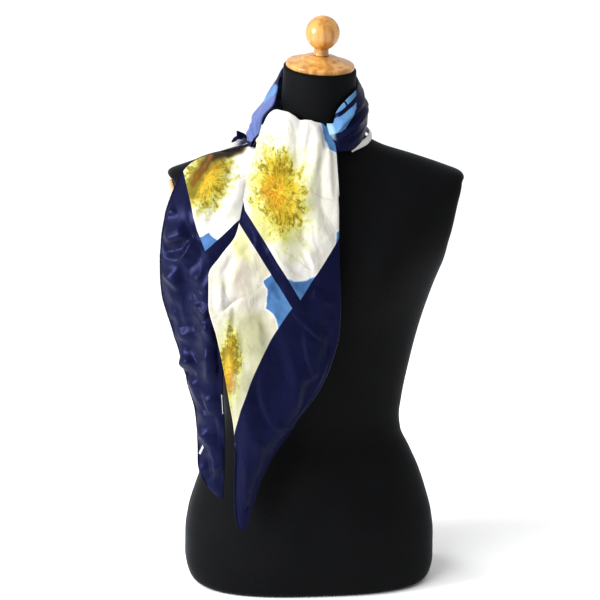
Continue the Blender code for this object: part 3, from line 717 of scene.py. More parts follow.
def turned_left(points, uv, v):
    """Turns the -X edge under too."""
    added, run = turned_under(v, LEFT_TURN)
    added = points[:, :1] + added * (-1.0, 1.0, 1.0)
    places = np.stack([uv[:, :1, 0] - run, np.repeat(uv[:, :1, 1], run.shape[1], axis=1)], -1)
    return np.concatenate([added[:, ::-1], points], axis=1), np.concatenate([places[:, ::-1], uv], axis=1)


# Creases placed to look like the photo's: a ridge stands out of the cloth, a trough goes in.
FRONT_CREASES = table(Crease,
    # pleats that run down from the gather
    (-3, 622, -1, 585, 5, -6, 1, 0.5), (-12, 626, -16, 560, 7, 3.6, 2), (4, 612, 3, 520, 6, 3.2, -2),
    (-8, 600, -6, 500, 8, -3.2, -3), (-34, 628, -43, 565, 8, -2.8, 2), (-24, 630, -30, 575, 7, 2.8, 1),
    (-46, 630, -58, 580, 9, 2.4, 2), (-60, 626, -84, 560, 11, -2.2, 4), (-82, 602, -100, 540, 7, 2.2, 2),
    (-72, 622, -90, 590, 6, 2, 1),
    # right pane, towards its lower tip
    (-88, 490, -54, 436, 5, 2.2, -3, 0.8), (-62, 462, -22, 436, 5, -2.6, -5, 0.6),
    (-36, 476, -20, 440, 5, 3.4, 2, 0.9), (-50, 520, -28, 458, 9, -2.4, 4), (-30, 508, 6, 470, 8, 3, 3),
    (-22, 540, 6, 500, 9, -2.6, -3), (-28, 560, 2, 548, 10, 1.8, 3), (-84, 520, -60, 470, 8, 1.6, 3),
    # left edge and bottom pane
    (-146, 386, -106, 416, 3.2, -3.4, 2.5, 0.8), (-122, 408, -129, 352, 5, -3.4, 2, 0.8),
    (-137, 442, -135, 380, 5, 3, -1.5, -0.6), (-118, 470, -144, 436, 6, -2.8, 2),
    (-105, 468, -128, 414, 7, 2.6, -3), (-148, 440, -148, 380, 5, -2, 0), (-96, 392, -88, 340, 6, 2.2, 2),
    (-112, 384, -104, 300, 7, -2.2, -2), (-130, 372, -124, 300, 5, 2.2, 1),
    (-114, 320, -118, 256, 6, 1.8, 1), (-104, 436, -66, 420, 5, 2, 2), (-74, 432, -58, 392, 6, -1.8, 1.5),
    (-78, 421, -51, 401, 3, 2.6, -2.5, 0.6), (-22, 427, -27, 411, 3, 2.4, 3, 0.6),
    # navy corner, with the line of its turned-in hem
    (6, 362, -24, 286, 1.6, 1.3, 3), (-20, 294, -60, 236, 1.6, 1.3, 3), (-54, 402, 0, 352, 4, 3.4, -3, 0.9),
    (-34, 380, -14, 300, 4.5, 2.8, -5, 0.8), (-92, 320, -70, 240, 6, -3.2, -9, -0.8),
    (-74, 250, -44, 246, 4.5, 2.6, -3, 0.6), (-50, 350, -44, 250, 8, 2.6, 4),
    (-28, 350, -34, 262, 7, -2.6, 3), (-70, 372, -56, 290, 9, -2.2, 3), (-12, 390, 0, 330, 6, -2.6, 2),
    (-96, 250, -84, 170, 7, 2.2, 2), (-72, 232, -92, 150, 6, -2, -2), (-104, 210, -104, 130, 5, 2, 1),
    (-108, 136, -92, 142, 4, -1.8, -2), (-20, 412, 8, 398, 5, 2.2, 2), (-36, 300, -12, 320, 6, 2, 2),
)
SHOULDER_CREASES = table(Crease,
    # the deep valley over the shoulder and the pane under it
    (-90, 586, -132, 570, 7, -5, -3, -0.5), (-100, 592, -150, 578, 6, 3, -3),
    (-110, 560, -128, 505, 7, 2.6, 4), (-96, 556, -106, 512, 5, -2.6, 1),
    (-134, 528, -150, 480, 7, -2.4, -3), (-118, 534, -140, 492, 6, 2, 2),
    (-160, 534, -166, 482, 6, 2.2, -2), (-126, 500, -112, 486, 5, 2, 2),
    # the outer strip: slanting facets above, long soft folds below
    (-209, 503, -186, 509, 5, 3.6, 2, 0.4), (-206, 470, -172, 484, 7.5, 6.4, 2, 0.6),
    (-208, 456, -174, 470, 7.5, -4.6, 2), (-168, 481, -188, 447, 7, 7, 2, 0.6),
    (-158, 470, -176, 438, 7, -2.2, 2), (-208, 436, -184, 410, 8, 5.2, 3, 0.5),
    (-198, 408, -180, 350, 6.5, -4.6, 2), (-150, 452, -158, 412, 7, 1, 2),
    (-176, 446, -166, 400, 9, -1.8, -3), (-168, 400, -155, 380, 6, 5, 2, 0.6),
    (-146, 402, -157, 379, 5.5, 4.4, -2, 0.5), (-190, 392, -177, 344, 8, 4.2, -2, 0.5),
    (-160, 380, -147, 350, 6.5, 4.4, 2, 0.5), (-172, 384, -164, 348, 7, -4, -2),
    (-188, 312, -166, 328, 9, 8.5, 2, 0.5), (-184, 300, -164, 312, 6.5, -4.4, -2),
    (-156, 348, -150, 296, 7, 3.6, 2, 0.6), (-140, 372, -141, 300, 7, -3, 2),
    (-176, 308, -160, 262, 7.5, 4.4, 2, 0.4), (-162, 286, -152, 252, 6, -4.2, 1),
    (-153, 284, -146, 256, 5.5, 4.6, -2, 0.6), (-146, 262, -139, 218, 6.5, -3.2, 2),
    (-163, 244, -142, 212, 7, 3.6, -3), (-150, 226, -140, 168, 6.5, 3.2, 2, 0.5),
    (-156, 208, -146, 166, 5.5, -2.6, 1), (-136, 262, -136, 182, 5.5, 2.4, 1),
)
UNDER_CREASES = table(Crease, (-60, 520, -56, 360, 9, 2, 4), (-40, 480, -50, 320, 8, -1.6, -3))

SILK_THICK = 0.5
TOP_BUMPS = ((-46.0, 5.0, 1.2), (-31.0, 4.5, -2.8), (-17.0, 5.0, 1.0), (4.0, 5.0, -4.5))  # x, width and lift
TOP_DRAWN_IN = 4.0         # how far the gather pulls the front fall's top left corner in
RUMPLE_MIDDLE = 0.45       # about the mean of the ridged noise


def rumple(x, z, size, angle=0.0, stretch=1.0, seed=0.0):
    """Ridged noise about 0 with creases about size apart, drawn out along angle, in degrees."""
    turn = math.radians(angle)
    along = (x * math.cos(turn) + z * math.sin(turn)) / (size * stretch)
    across = (-x * math.sin(turn) + z * math.cos(turn)) / size
    value = np.empty(along.size)
    for k, (a, b) in enumerate(zip(along.ravel(), across.ravel())):
        bend = noise.noise((a * 0.7, b * 0.7, seed + 9.1))
        value[k] = noise.noise((a + bend * 0.9, b - bend * 0.9, seed))
    return (1 - np.sqrt(value.reshape(along.shape) ** 2 + 0.003) * 1.6) ** 2 - RUMPLE_MIDDLE


def lifted(points, height):
    """Grid points moved out along the surface by height."""
    return points + normals_of(points) * height[..., None]


def edge_fade(u, inner, outer):
    """0 at the +X edge and 1 from inner on; the same at the -X edge with outer."""
    return ease((1 - u) / inner) * ease(u / outer)


def unit(vectors):
    return vectors / np.maximum(np.linalg.norm(vectors, axis=-1, keepdims=True), 1e-9)


def roll(edge, uv, away, rise, radius, back, steps, sense=1.0):
    """Rows past an edge that roll over towards the neck and go down behind it, and their print's places."""
    part = np.linspace(0, 1, steps + 1)[1:, None, None]
    turn = math.pi * part
    curl = edge - away * radius * (1 - np.cos(turn)) + rise * radius * np.sin(turn)
    run = np.concatenate([math.pi * radius * part, math.pi * radius + back * part])
    return np.concatenate([curl, curl[-1:] - rise * back * part]), uv + run * np.array([0.0, sense])


def rolled_top(points, uv, radius, back):
    """Rolls the top edge over towards the neck, clear of the form."""
    rise = unit(points[:1] - points[2:3])
    added, places = roll(points[:1], uv[:1], normals_of(points)[:1], rise, radius, back, 6)
    keep_off_form(added)
    return np.concatenate([added[::-1], points]), np.concatenate([places[::-1], uv])


# ---- hems ----------------------------------------------------------------------------------------
HEM_RADIUS, HEM_STEP, HEM_SIDES = 0.95, 0.75, 8
STITCH, STITCH_DEPTH, STITCH_WIDTH = 3.0, 0.20, 0.55


def hem(name, line, finish, radius=HEM_RADIUS):
    """A hand-rolled hem: a fine roll along a line of points in millimetres, dimpled at every stitch."""
    run = np.concatenate([[0], np.linalg.norm(np.diff(line, axis=0), axis=1).cumsum()])
    at = np.arange(0.0, run[-1], HEM_STEP)
    middle = np.stack([np.interp(at, run, line[:, k]) for k in range(3)], -1)
    ahead = np.gradient(middle, axis=0)
    ahead /= np.linalg.norm(ahead, axis=1, keepdims=True)
    side = np.cross(ahead, (0.0, -1.0, 0.0))
    side /= np.maximum(np.linalg.norm(side, axis=1, keepdims=True), 1e-6)
    front = np.cross(side, ahead)
    turn = np.linspace(0, 2 * math.pi, HEM_SIDES + 1)[:-1]
    dimple = STITCH_DEPTH * np.exp(-((at % STITCH - STITCH / 2) / STITCH_WIDTH) ** 2)
    spread = radius * (1 - dimple + 0.06 * np.sin(at * 0.9))[:, None, None]
    ring = side[:, None] * np.cos(turn)[None, :, None] + front[:, None] * np.sin(turn)[None, :, None]
    return dress(grid_object(name, middle[:, None] + ring * spread, closed=True), finish, "silk")


# ---- stretches of the scarf ------------------------------------------------------------------------
FALL_GRID, UNDER_GRID = (300, 100), (160, 50)     # rows and columns


def silk(node, points, uv, finish):
    """A stretch of thin silk in its solid's place."""
    return dress(shell(grid_object(node + "_silk", points, uv), SILK_THICK), finish, "silk", node)


def front_fall(finish, edge_finish):
    points, uv, u, v = hung_grid(FRONT_SECTIONS, FRONT_FOLDS, *FALL_GRID)
    x, z = uv[..., 0], uv[..., 1]
    creases = FRONT_CREASES + scattered(46, (-150, 0), (130, 600), 80, 40, (24, 60), (3, 6), (0.5, 1.3))
    height = crease_height(creases, x, z)
    height += 1.5 * rumple(x, z, 34, 70, 1.8, 1.3)
    height += 0.5 * rumple(x, z, 14, 100, 1.5, 5.1)
    fade = edge_fade(u, 0.05, 0.06) * ease((v + 0.4) / 0.8)
    points = lifted(points, height * (0.25 + 0.75 * fade))
    for place, width, lift in TOP_BUMPS:
        points[..., 2] += lift * np.exp(-((x - place) / width) ** 2) * ease(1 - v / 1.5)
    points[..., 0] += TOP_DRAWN_IN * ease(1 - u / 0.35) * ease(1 - v / 3.0)
    keep_off_form(points)
    points, uv = turned_left(*turned_right(points, uv, v), v)
    made = silk("front_fall", *rolled_top(points, uv, 1.8, 7.0), finish)
    left, tip, right = points[int(FALL_GRID[0] * 0.80):, 0], points[-1], points[::-1, -1]
    rolled = hem("front_fall_hem", np.concatenate([left, tip, right]), edge_finish)


def shoulder_fall(finish, edge_finish):
    points, uv, u, v = hung_grid(SHOULDER_SECTIONS, SHOULDER_FOLDS, *FALL_GRID)
    x, z = uv[..., 0], uv[..., 1]
    creases = SHOULDER_CREASES + scattered(34, (-205, -130), (170, 520), 70, 40, (24, 56), (5, 8), (0.6, 1.6))
    height = crease_height(creases, x, z)
    strip = ease((530 - z) / 60)
    height += (0.8 + 2.4 * strip) * rumple(x, z, 36, 55, 1.7, 3.7)
    height += (0.3 + 0.3 * strip) * rumple(x, z, 15, 100, 1.5, 8.3)
    fade = edge_fade(u, 0.12, 0.05) * ease((v + 0.2) / 0.9)
    points = lifted(points, height * (0.2 + 0.8 * fade))
    keep_off_form(points)
    made = silk("shoulder_fall", points, uv, finish)
    line = np.concatenate([points[6:, 0], points[-1], points[:int(FALL_GRID[0] * 0.4):-1, -1]])
    rolled = hem("shoulder_fall_hem", line, edge_finish)


def under_fall(finish, edge_finish):
    points, uv, u, v = hung_grid(UNDER_SECTIONS, UNDER_FOLDS, *UNDER_GRID)
    x, z = uv[..., 0], uv[..., 1]
    height = crease_height(UNDER_CREASES, x, z) + 1.2 * rumple(x, z, 30, 80, 2.0, 6.1)
    points = lifted(points, height * edge_fade(u, 0.1, 0.1))
    keep_off_form(points)
    made = silk("under_fall", points, uv, finish)
    line = np.concatenate([points[4:, 0], points[-1], points[:4:-1, -1]])
    rolled = hem("under_fall_hem", line, edge_finish)


# ---- the stretches round the neck ------------------------------------------------------------------
Station = namedtuple("Station", "low_x low_y low_z high_x high_y high_z puff")
BAND_LEFT = table(Station,
    (-91.9, -42.3, 589.6, -83.8, -42.3, 603.6, 2), (-94, -27, 590, -79, -31, 623, 6),
    (-91.5, -10, 591, -64, -20, 640, 11), (-84, 12, 594, -58, -2, 654, 11),
    (-71.5, 36, 598, -53, 13, 670, 7), (-56, 54, 600, -43, 36, 684, 5), (-38, 68, 602, -28, 51, 693, 4),
)
BAND_BACK = table(Station,
    (-37, 68.7, 602, -27, 51.4, 693.2, 4), (-20, 75, 601, -14, 57, 697, 5), (0, 77, 600, 0, 59, 698, 5),
    (19, 75, 601, 14, 57, 697, 5), (35, 68.7, 602, 26, 51.4, 693.6, 4),
)
BAND_RIGHT = table(Station,
    (36, 68, 602, 27, 51, 693, 4), (49, 55, 603, 42, 40, 687, 5), (60, 31, 609, 51.5, 23, 679, 4),
    (63, -4, 611, 54, 0, 669, 4), (55, -40, 603, 46, -38, 661, 6), (44, -60, 594, 29, -58, 648, 7),
    (31, -71, 588, 16, -63, 633, 5), (16.5, -77.5, 588, 11.5, -62.5, 619, 2),
    (8.5, -72, 588, 3.5, -57.6, 618, 1),
)
END_LEFT = table(Station,
    (-17.9, 86, 628, -17.4, 86, 648, 1), (-44, 78, 597, -40, 82, 624, 3), (-74, 48, 589, -68, 57, 599, 3),
    (-92, 20, 587, -88, 27, 594, 1), (-106, -6, 585.5, -97, 9, 600, 1), (-128, -12, 580, -117, 2, 591, 1),
    (-143, -10, 576, -139, -5, 579, 0.5),
)
END_RIGHT = table(Station,
    (16.7, 86, 628, 16.7, 86, 648, 1), (47, 76, 602, 44, 80, 624, 3), (71, 44, 602, 67, 46, 613, 3),
    (71.5, 2, 600, 68, 2, 608, 1.5), (61, -37, 593.5, 58.5, -38, 601, 1),
    (36, -61.5, 584.5, 35, -62.5, 590, 0),
)
BAND_PLEATS, BAND_PLEAT_DEPTH, PLEAT_FULL_HEIGHT = 3.5, 2.2, 60.0
BAND_ROWS, BAND_CRUMPLE, BAND_CUT = 76, 1.1, 0.12      # the last is the band's width laid flat, in metres
END_ROWS, END_COLUMNS, END_WAVE, END_DEPTH, END_CRUMPLE, END_CUT = 44, 200, 1.0, 1.0, 0.7, 0.17
KNOT_CENTRE, KNOT_HALF, KNOT_GRID = (0.0, 87.9, 640.0), (19.0, 10.0, 15.0), (66, 110)
KNOT_TUCK = 6.0            # how far the ends run in under the knot's turns
TIP_AT, TIP_SPREAD, LEFT_TIP = 4.05, 0.17, (-7.5, 0.0, 3.5)      # the first two in stations
LEFT_HEM_NAVY = 0.594      # metres

# A pleat runs along a band from one share of its height to another, over the stations from_t to to_t.
Pleat = namedtuple("Pleat", "from_t from_s to_t to_s half_width height")
LEFT_PLEATS = table(Pleat,
    (0.2, 0.75, 6, 0.55, 6, 3), (0.2, 0.40, 4.5, 0.78, 4.5, -3.2), (1.2, 0.15, 6, 0.30, 6, 2.6),
    (2.5, 0.92, 6, 0.82, 4, 2.4), (2, 0.30, 6, 0.10, 4, -2.2), (0.6, 0.60, 3.2, 0.50, 4, 2.2),
)
BACK_PLEATS = table(Pleat,
    (-0.5, 0.55, 4.5, 0.50, 7, 3), (-0.5, 0.82, 4.5, 0.78, 5, -2.4), (-0.5, 0.25, 4.5, 0.30, 6, -2.6),
)
RIGHT_PLEATS = table(Pleat,
    (0, 0.50, 7, 0.80, 5, 3.4), (0.5, 0.78, 6, 0.55, 4, -3.4), (0, 0.22, 5.5, 0.40, 6, 2.8),
    (2.5, 0.30, 7, 0.20, 4.5, -3), (1.5, 0.92, 5, 0.90, 3.5, 2), (3.5, 0.62, 7, 0.35, 4, 2.6),
)
END_PLEATS = table(Pleat,
    (0, 0.5, 2.5, 0.70, 4, 2), (1, 0.3, 4.6, 0.45, 5, -1.6), (2, 0.8, 5, 0.7, 4, 1.6),
)


def band_grid(stations, rows, columns, wave, depth, pleats, crumple):
    """A gathered stretch, finer than its solid: rows run down, columns from the first station on."""
    t = np.linspace(0, len(stations) - 1, columns + 1)[None, :] * np.ones((rows + 1, 1))
    s = np.linspace(1, 0, rows + 1)[:, None] * np.ones(columns + 1)
    low = np.stack([column(stations, name, t) for name in ("low_x", "low_y", "low_z")], -1)
    high = np.stack([column(stations, name, t) for name in ("high_x", "high_y", "high_z")], -1)
    middle = (low + high) / 2
    out = unit(np.stack([middle[..., 0], middle[..., 1] + NECK_LEAN / 2, np.zeros_like(t)], -1))
    tall = np.linalg.norm(high - low, axis=-1)
    share = np.minimum(1.0, (high - low)[..., 2] / PLEAT_FULL_HEIGHT)
    lift = column(stations, "puff", t) * 4 * s * (1 - s)
    lift += depth * share * np.sin(2 * math.pi * wave * s + 0.7 * t) * np.sin(math.pi * s)
    inside = np.sin(math.pi * np.clip(s, 0, 1)) ** 0.5
    for pleat in pleats:
        part = (t - pleat.from_t) / (pleat.to_t - pleat.from_t)
        away = (s - pleat.from_s - (pleat.to_s - pleat.from_s) * part) * tall / pleat.half_width
        taper = ease(part / 0.2 + 0.3) * ease((1 - part) / 0.2 + 0.3)
        lift += pleat.height * share * inside * taper * np.exp(1 - np.sqrt(1 + 2.4 * away ** 2))
    run = np.concatenate([[0], np.linalg.norm(np.diff(middle[0], axis=0), axis=1).cumsum()])
    run = run[None, :] * np.ones((rows + 1, 1))
    lift += crumple * inside * rumple(run, s * tall, 13, 5, 2.6, stations[0].low_x)
    points = low + (high - low) * s[..., None] + out * lift[..., None]
    return points, np.stack([run, s * tall], -1), out, unit(high - low)


def rolled_rows(points, uv, out, up, radius, back):
    """Rolls the top and the bottom edge in towards the neck, so that both edges are folds."""
    (top, top_uv), (bottom, bottom_uv) = (
        roll(points[row][None], uv[row][None], out[row][None], up[row][None] * sense, radius, back, 7, sense)
        for row, sense in ((0, 1.0), (-1, -1.0)))
    return np.concatenate([top[::-1], points, bottom]), np.concatenate([top_uv[::-1], uv, bottom_uv])


def neck_band(node, stations, columns, pleats, finish):
    points, uv, out, up = band_grid(stations, BAND_ROWS, columns, BAND_PLEATS, BAND_PLEAT_DEPTH, pleats,
                                    BAND_CRUMPLE)
    made = silk(node, *rolled_rows(points, uv, out, up, 1.8, 8.0), finish)


def nape_end(node, stations, finish, edge_finish, tip=(0.0, 0.0, 0.0)):
    """A short end, from the knot round the side of the neck; tip draws a point out of its upper edge."""
    points, uv, out, up = band_grid(stations, END_ROWS, END_COLUMNS, END_WAVE, END_DEPTH, END_PLEATS,
                                    END_CRUMPLE)
    t = np.linspace(0, len(stations) - 1, points.shape[1])
    share = np.exp(-((t - TIP_AT) / TIP_SPREAD) ** 2)[None, :] * np.linspace(1, 0, END_ROWS + 1)[:, None] ** 2
    points += share[..., None] * np.array(tip)
    points[..., 0] -= np.sign(stations[0].low_x) * KNOT_TUCK * ease(1 - t / 0.3)
    made = silk(node, points, uv, finish)
    line = np.concatenate([points[0, 8:], points[1:, -1], points[-1, ::-1]])
    rolled = hem(node + "_hem", line, edge_finish, 0.8)


def nape_knot(finish):
    """The knot: a pressed ball wrapped by turns of the two ends."""
    rows, columns = KNOT_GRID
    lift = np.linspace(0.04, math.pi - 0.04, rows + 1)[:, None] * np.ones(columns)
    turn = np.linspace(0, 2 * math.pi, columns + 1)[None, :-1] * np.ones((rows + 1, 1))
    waist = 1 - 0.16 * np.cos(2 * turn + 0.5) * np.sin(lift)
    wraps = 0.08 * np.sin(5 * turn + 4 * np.cos(lift)) + 0.05 * np.sin(3 * turn - 7 * np.cos(lift) + 1.0)
    radius = np.sin(lift) * (waist + wraps - 0.04)
    points = np.stack([KNOT_CENTRE[0] + KNOT_HALF[0] * radius * np.cos(turn),
                       KNOT_CENTRE[1] + KNOT_HALF[1] * radius * np.sin(turn),
                       KNOT_CENTRE[2] + KNOT_HALF[2] * 0.98 * np.cos(lift)], -1)
    uv = np.stack([turn * 15.0, lift * 14.0], -1)
    made = closed_ends(grid_object("nape_knot_silk", points, uv, closed=True))
    return dress(made, finish, "silk", "nape_knot")


def closed_ends(obj):
    """Fills the open ends of a closed row of faces."""
    shape = bmesh.new()
    shape.from_mesh(obj.data)
    rim = [edge for edge in shape.edges if edge.is_boundary]
    bmesh.ops.holes_fill(shape, edges=rim, sides=0)
    shape.to_mesh(obj.data)
    shape.free()
    return obj


# ---- the prints ------------------------------------------------------------------------------------
class FrontPrint(SilkPrint):
    """The front fall: a pane with a whole flower, a bar, and a second pane that runs to a point."""

    def __init__(self):
        super().__init__("silk front print")
        right_shade = self.step(self.beside((-42, 400), (-22, 640)), 0.0, -26.0)
        self.paint(right_shade * 0.45, IVORY_PAINTED_SHADE)
        self.patch(((-44, 600), (-46, 500), (-14, 490), (-8, 590)), 9.0, 0.40, LEAF_TINT)
        self.patch(((-92, 500), (-52, 450), (-22, 470), (-40, 510), (-84, 520)), 9.0, 0.55, LEAF_TINT)
        # Painted shade: soft dim bars down the folds on the right, then thin crease lines.
        self.bars((((-24, 600), (-30, 520)), ((-10, 596), (-12, 500)), ((-38, 606), (-42, 560))),
                  3.0, IVORY_PAINTED_SHADE, 3.5, 0.7)
        self.bars((((-84, 498), (-60, 452)), ((-60, 470), (-26, 446)), ((-20, 540), (4, 528)),
                   ((-44, 470), (-30, 448))), 0.9, CREASE_PAINTED_SHADE, 1.3, 0.5)
        # Painted shade along a curved crease line.
        line = self.beside((-86, 486), (-42, 428), loose=True, sag=5.0).math("ABSOLUTE")
        self.paint(self.inside(line * -1.0 + 0.9, 0.7) * 0.45, SHADE_TINT)
        self.patch(((-100, 496), (-80, 492), (-80, 562), (-98, 556)), 7.0, 0.75, LIME)
        self.patch(((-90, 480), (-46, 480), (-44, 512), (-90, 512)), 7.0, 0.75, LIME)
        self.blossom(Blossom(-63, 538, 28, 46, 4, 0.52, -6.0, 0.0, 0.4))
        self.on_sky((-63, 538, 108, 200))
        upper = self.colour
        lower = self.lower_pane()
        right = self.region(((-130, 690), (-105, 515), (-40, 410), (10, 485), (60, 690)))
        bottom = self.inside(self.beside((-120, 230), (-50, 400), sag=10.0))
        bottom = bottom * self.inside(self.beside((-50, 400), (-110, 495)))
        self.colour = NAVY
        self.paint(bottom, lower)
        self.paint(right, upper)

    def lower_pane(self):
        """The colours of the pane that runs to a point, as if it covered the whole fall."""
        self.colour = self.ivory()
        # A greenish print tint in loose patches, deepened towards the pane's lower end as painted shade.
        patches = self.step(self.noise(self.scaled(self.loose, 0.04), 1.0, 2.0), 0.38, 0.62)
        below = self.step(self.beside((-160, 385), (-60, 400)), 20.0, -60.0)
        # Painted shade towards the pane's right side.
        self.paint(self.step(self.beside((-106, 380), (-92, 260)), -14.0, 10.0) * 0.45, SHADE_TINT)
        self.paint((below * 0.70).math("ADD", patches * 0.40, clamp=True), LEAF_TINT)
        # Painted shade over the pane, except along a fold line that is left bright as a painted highlight.
        line = self.beside((-128, 300), (-121, 478), loose=True, sag=4.0).math("ABSOLUTE")
        self.paint(self.step(line, 3.0, 8.0) * 0.42, IVORY_PAINTED_SHADE)
        self.patch(((-119, 440), (-102, 446), (-106, 486), (-122, 478)), 6.0, 0.7, LIME)
        self.patch(((-118, 500), (-118, 452), (-78, 440), (-100, 480)), 8.0, 0.5, LEAF_TINT)
        # Soft patches of painted shade.
        self.patch(((-115, 410), (-85, 410), (-85, 455), (-115, 455)), 9.0, 0.9, IVORY_PAINTED_SHADE)
        self.patch(((-115, 340), (-85, 340), (-85, 395), (-120, 390)), 9.0, 0.9, LEAF_PAINTED_SHADE)
        self.patch(((-125, 405), (-105, 405), (-105, 455), (-125, 465)), 9.0, 0.9, SHADE_TINT)
        # Thin crease lines of painted shade.
        self.bars((((-146, 385), (-124, 407)), ((-126, 405), (-107, 415)), ((-106, 408), (-98, 372)),
                   ((-136, 432), (-128, 402)), ((-110, 380), (-100, 345)), ((-100, 470), (-92, 446))),
                  1.0, CREASE_PAINTED_SHADE, 1.4, 0.55)
        self.blossom(Blossom(-127, 322, 12, 46, -4, 0.55, 1.0, -12.0, 1.3))
        # Painted shade below the lower flower.
        self.patch(((-128, 256), (-112, 262), (-106, 316), (-120, 316)), 8.0, 0.55, LEAF_PAINTED_SHADE)
        self.on_sky((-127, 322, 90, -25), (-150, 450, 88, 75))
        return self.colour


class ShoulderPrint(SilkPrint):
    """The shoulder fall: the pane that is folded over the shoulder, and the navy border under it."""

    def __init__(self):
        super().__init__("silk shoulder print")
        self.blossom(Blossom(-150, 549, 23, 36, -38, 0.40, 2.0, 6.0, 0.6))
        # Painted shadow down the deep fold over the shoulder: olive, with a darker core and some rust.
        valley_shadow = (((-98, 592), (-124, 580)), ((-120, 583), (-143, 573)), ((-140, 576), (-154, 563)),
                  ((-151, 567), (-163, 550)), ((-161, 554), (-167, 540)), ((-165, 545), (-173, 526)))
        self.bars(valley_shadow, 15.0, OLIVE, 4.0, 0.9)
        for k, (start, end) in enumerate(valley_shadow[:-1]):
            self.bar(start, end, 12.0 - 2.0 * k, VALLEY_PAINTED_SHADOW, 2.5, loose=True)
        self.bars(valley_shadow[2:5], 4.5, RUST, 2.5, 0.7)
        self.on_sky((-150, 549, 80, 215))
        pane = self.region(((-80, 680), (-200, 680), (-175, 540), (-165, 490), (-155, 465), (-110, 505),
                            (-80, 560)))
        inside = self.colour
        self.colour = NAVY
        self.paint(pane, inside)
        self.bar((-134, 285), (-132, 260), 1.8, IVORY)


class BandPrint(SilkPrint):
    """A gathered stretch of one plain colour, with slivers of panes and navy bars where it shows them.

    Its places are along the stretch and up from its lower edge.
    """

    def __init__(self, name, ground, panes=(), bars=(), pane_colour=None):
        super().__init__(name, ground)
        for corners in panes:
            shade = pane_colour or self.mix(self.noise(self.spot, 0.06), SKY, PALE_SKY)
            self.paint(self.region(corners, loose=True), shade)
        for start, end, width in bars:
            self.bar(start, end, width)


def left_band_print():
    # The band's navy is lightened as a painted highlight, and is left plain over its far end and part of its
    # top.
    made = BandPrint("left band silk", NAVY_PAINTED_HIGHLIGHT, [((50, 55), (65, 55), (75, 75), (60, 75))],
                     [((-5, 1), (40, 1), 9)])
    made.paint(made.region(((126, -30), (190, -30), (190, 150), (126, 150)), loose=True), NAVY)
    made.patch(((66, 76), (104, 66), (130, 110), (60, 110)), 2.0, 0.85, NAVY)
    return made


def right_band_print():
    made = BandPrint("right band silk", NAVY, [((190, 15), (190, 85), (110, 85), (115, 60), (150, 30))],
                     [((115, 55), (165, 45), 5.0), ((140, 65), (140, 50), 2.5)])
    made.patch(((170, 15), (195, 15), (195, 50), (170, 50)), 3.0, 0.4, MIST)
    return made


def hem_finish(name, colour, navy_above=None):
    """The rolled edge of the cloth, with the dark nicks of its stitches; navy above a height in metres."""
    graph = Graph(name)
    cells = graph.noise(graph.place("Object"), 900.0, 2.0)
    shade = graph.mix(graph.step(cells, 0.35, 0.70) * 0.5, colour, darker(colour))
    if navy_above is not None:
        height = graph.dot(graph.place("Object"), (0.0, 0.0, 1.0))
        shade = graph.mix(graph.step(height, navy_above, navy_above + 0.002), shade, NAVY)
    return graph.finish(shade, graph.bump(cells, 0.0002, 0.6), Roughness=0.55, Specular_IOR_Level=0.12)


# ---- the other finishes -----------------------------------------------------------------------------
JERSEY, JERSEY_WORN, LINT = (0.0044, 0.0046, 0.0052), (0.0066, 0.0069, 0.0076), (0.05, 0.05, 0.052)
TAG_WHITES = (0.52, 0.52, 0.53), (0.62, 0.62, 0.63)
PAPER_WHITES = (0.91, 0.912, 0.915), (0.94, 0.942, 0.945)
HONEY, HONEY_GRAIN = (0.56, 0.30, 0.085), (0.36, 0.16, 0.034)
PALE_WOOD, PALE_GRAIN = (0.54, 0.38, 0.225), (0.42, 0.27, 0.14)
CAP_GRAIN, PLATE_GRAIN = (1.0, 1.0, 0.12), (0.12, 1.0, 1.0)      # drawn out along the axis of the least


def darker(colour):
    return tuple(0.55 * c for c in colour)


def jersey_finish():
    """Black knitted cover: fine ribs that run up and down, faint lint and a soft, greyish sheen."""
    graph = Graph("jersey")
    place = graph.place("Object")
    ribs = graph.weave(place, 1500.0, 1900.0)
    cloudy = graph.noise(place, 14.0, 3.0)
    lint = graph.step(graph.noise(place, 420.0, 3.0, 0.7), 0.66, 0.80)
    colour = graph.mix(graph.step(cloudy, 0.3, 0.7) * 0.5, JERSEY, JERSEY_WORN)
    colour = graph.mix(lint * 0.35, colour, LINT)
    fuzz = graph.bump(graph.noise(place, 700.0, 2.0, 0.6), 0.0003, 0.5)
    return graph.finish(colour, graph.bump(ribs, 0.0002, 0.35, fuzz), Roughness=0.70, Sheen_Weight=0.15,
                        Sheen_Roughness=0.25, Sheen_Tint=(0.75, 0.88, 1.0, 1.0), Specular_IOR_Level=0.10)


def wood_finish(name, light, dark, rough, coat, grain, size):
    """Lacquered wood: long rings of grain, pores and a few darker streaks."""
    graph = Graph(name)
    place = graph.vector_math("MULTIPLY", graph.place("Object"), grain)
    bend = graph.noise(place, size * 0.25, 2.0)
    rings = graph.join(bend * 1.3, graph.dot(place, (0.0, size, 0.0)), graph.dot(place, (size, 0.0, size)))
    bands = graph.noise(rings, 1.0, 4.0, 0.6, 0.8)
    fibres = graph.vector_math("MULTIPLY", graph.place("Object"), (1.0, 1.0, 0.06))
    pores = graph.noise(fibres, 900.0, 3.0, 0.7)
    colour = graph.mix(graph.step(bands, 0.38, 0.64), light, dark)
    colour = graph.mix(graph.step(pores, 0.56, 0.70) * 0.30, colour, darker(dark))
    return graph.finish(colour, graph.bump(pores, 0.0001, 0.25), Roughness=rough, Coat_Weight=coat,
                        Coat_Roughness=0.12)


def tag_finish():
    graph = Graph("tag weave")
    place = graph.place("Object")
    weave = graph.weave(place, 9000.0, 9000.0)
    tone = graph.noise(place, 300.0, 2.0)
    colour = graph.mix(tone, *TAG_WHITES)
    return graph.finish(colour, graph.bump(weave, 0.0001, 0.4), Roughness=0.6)


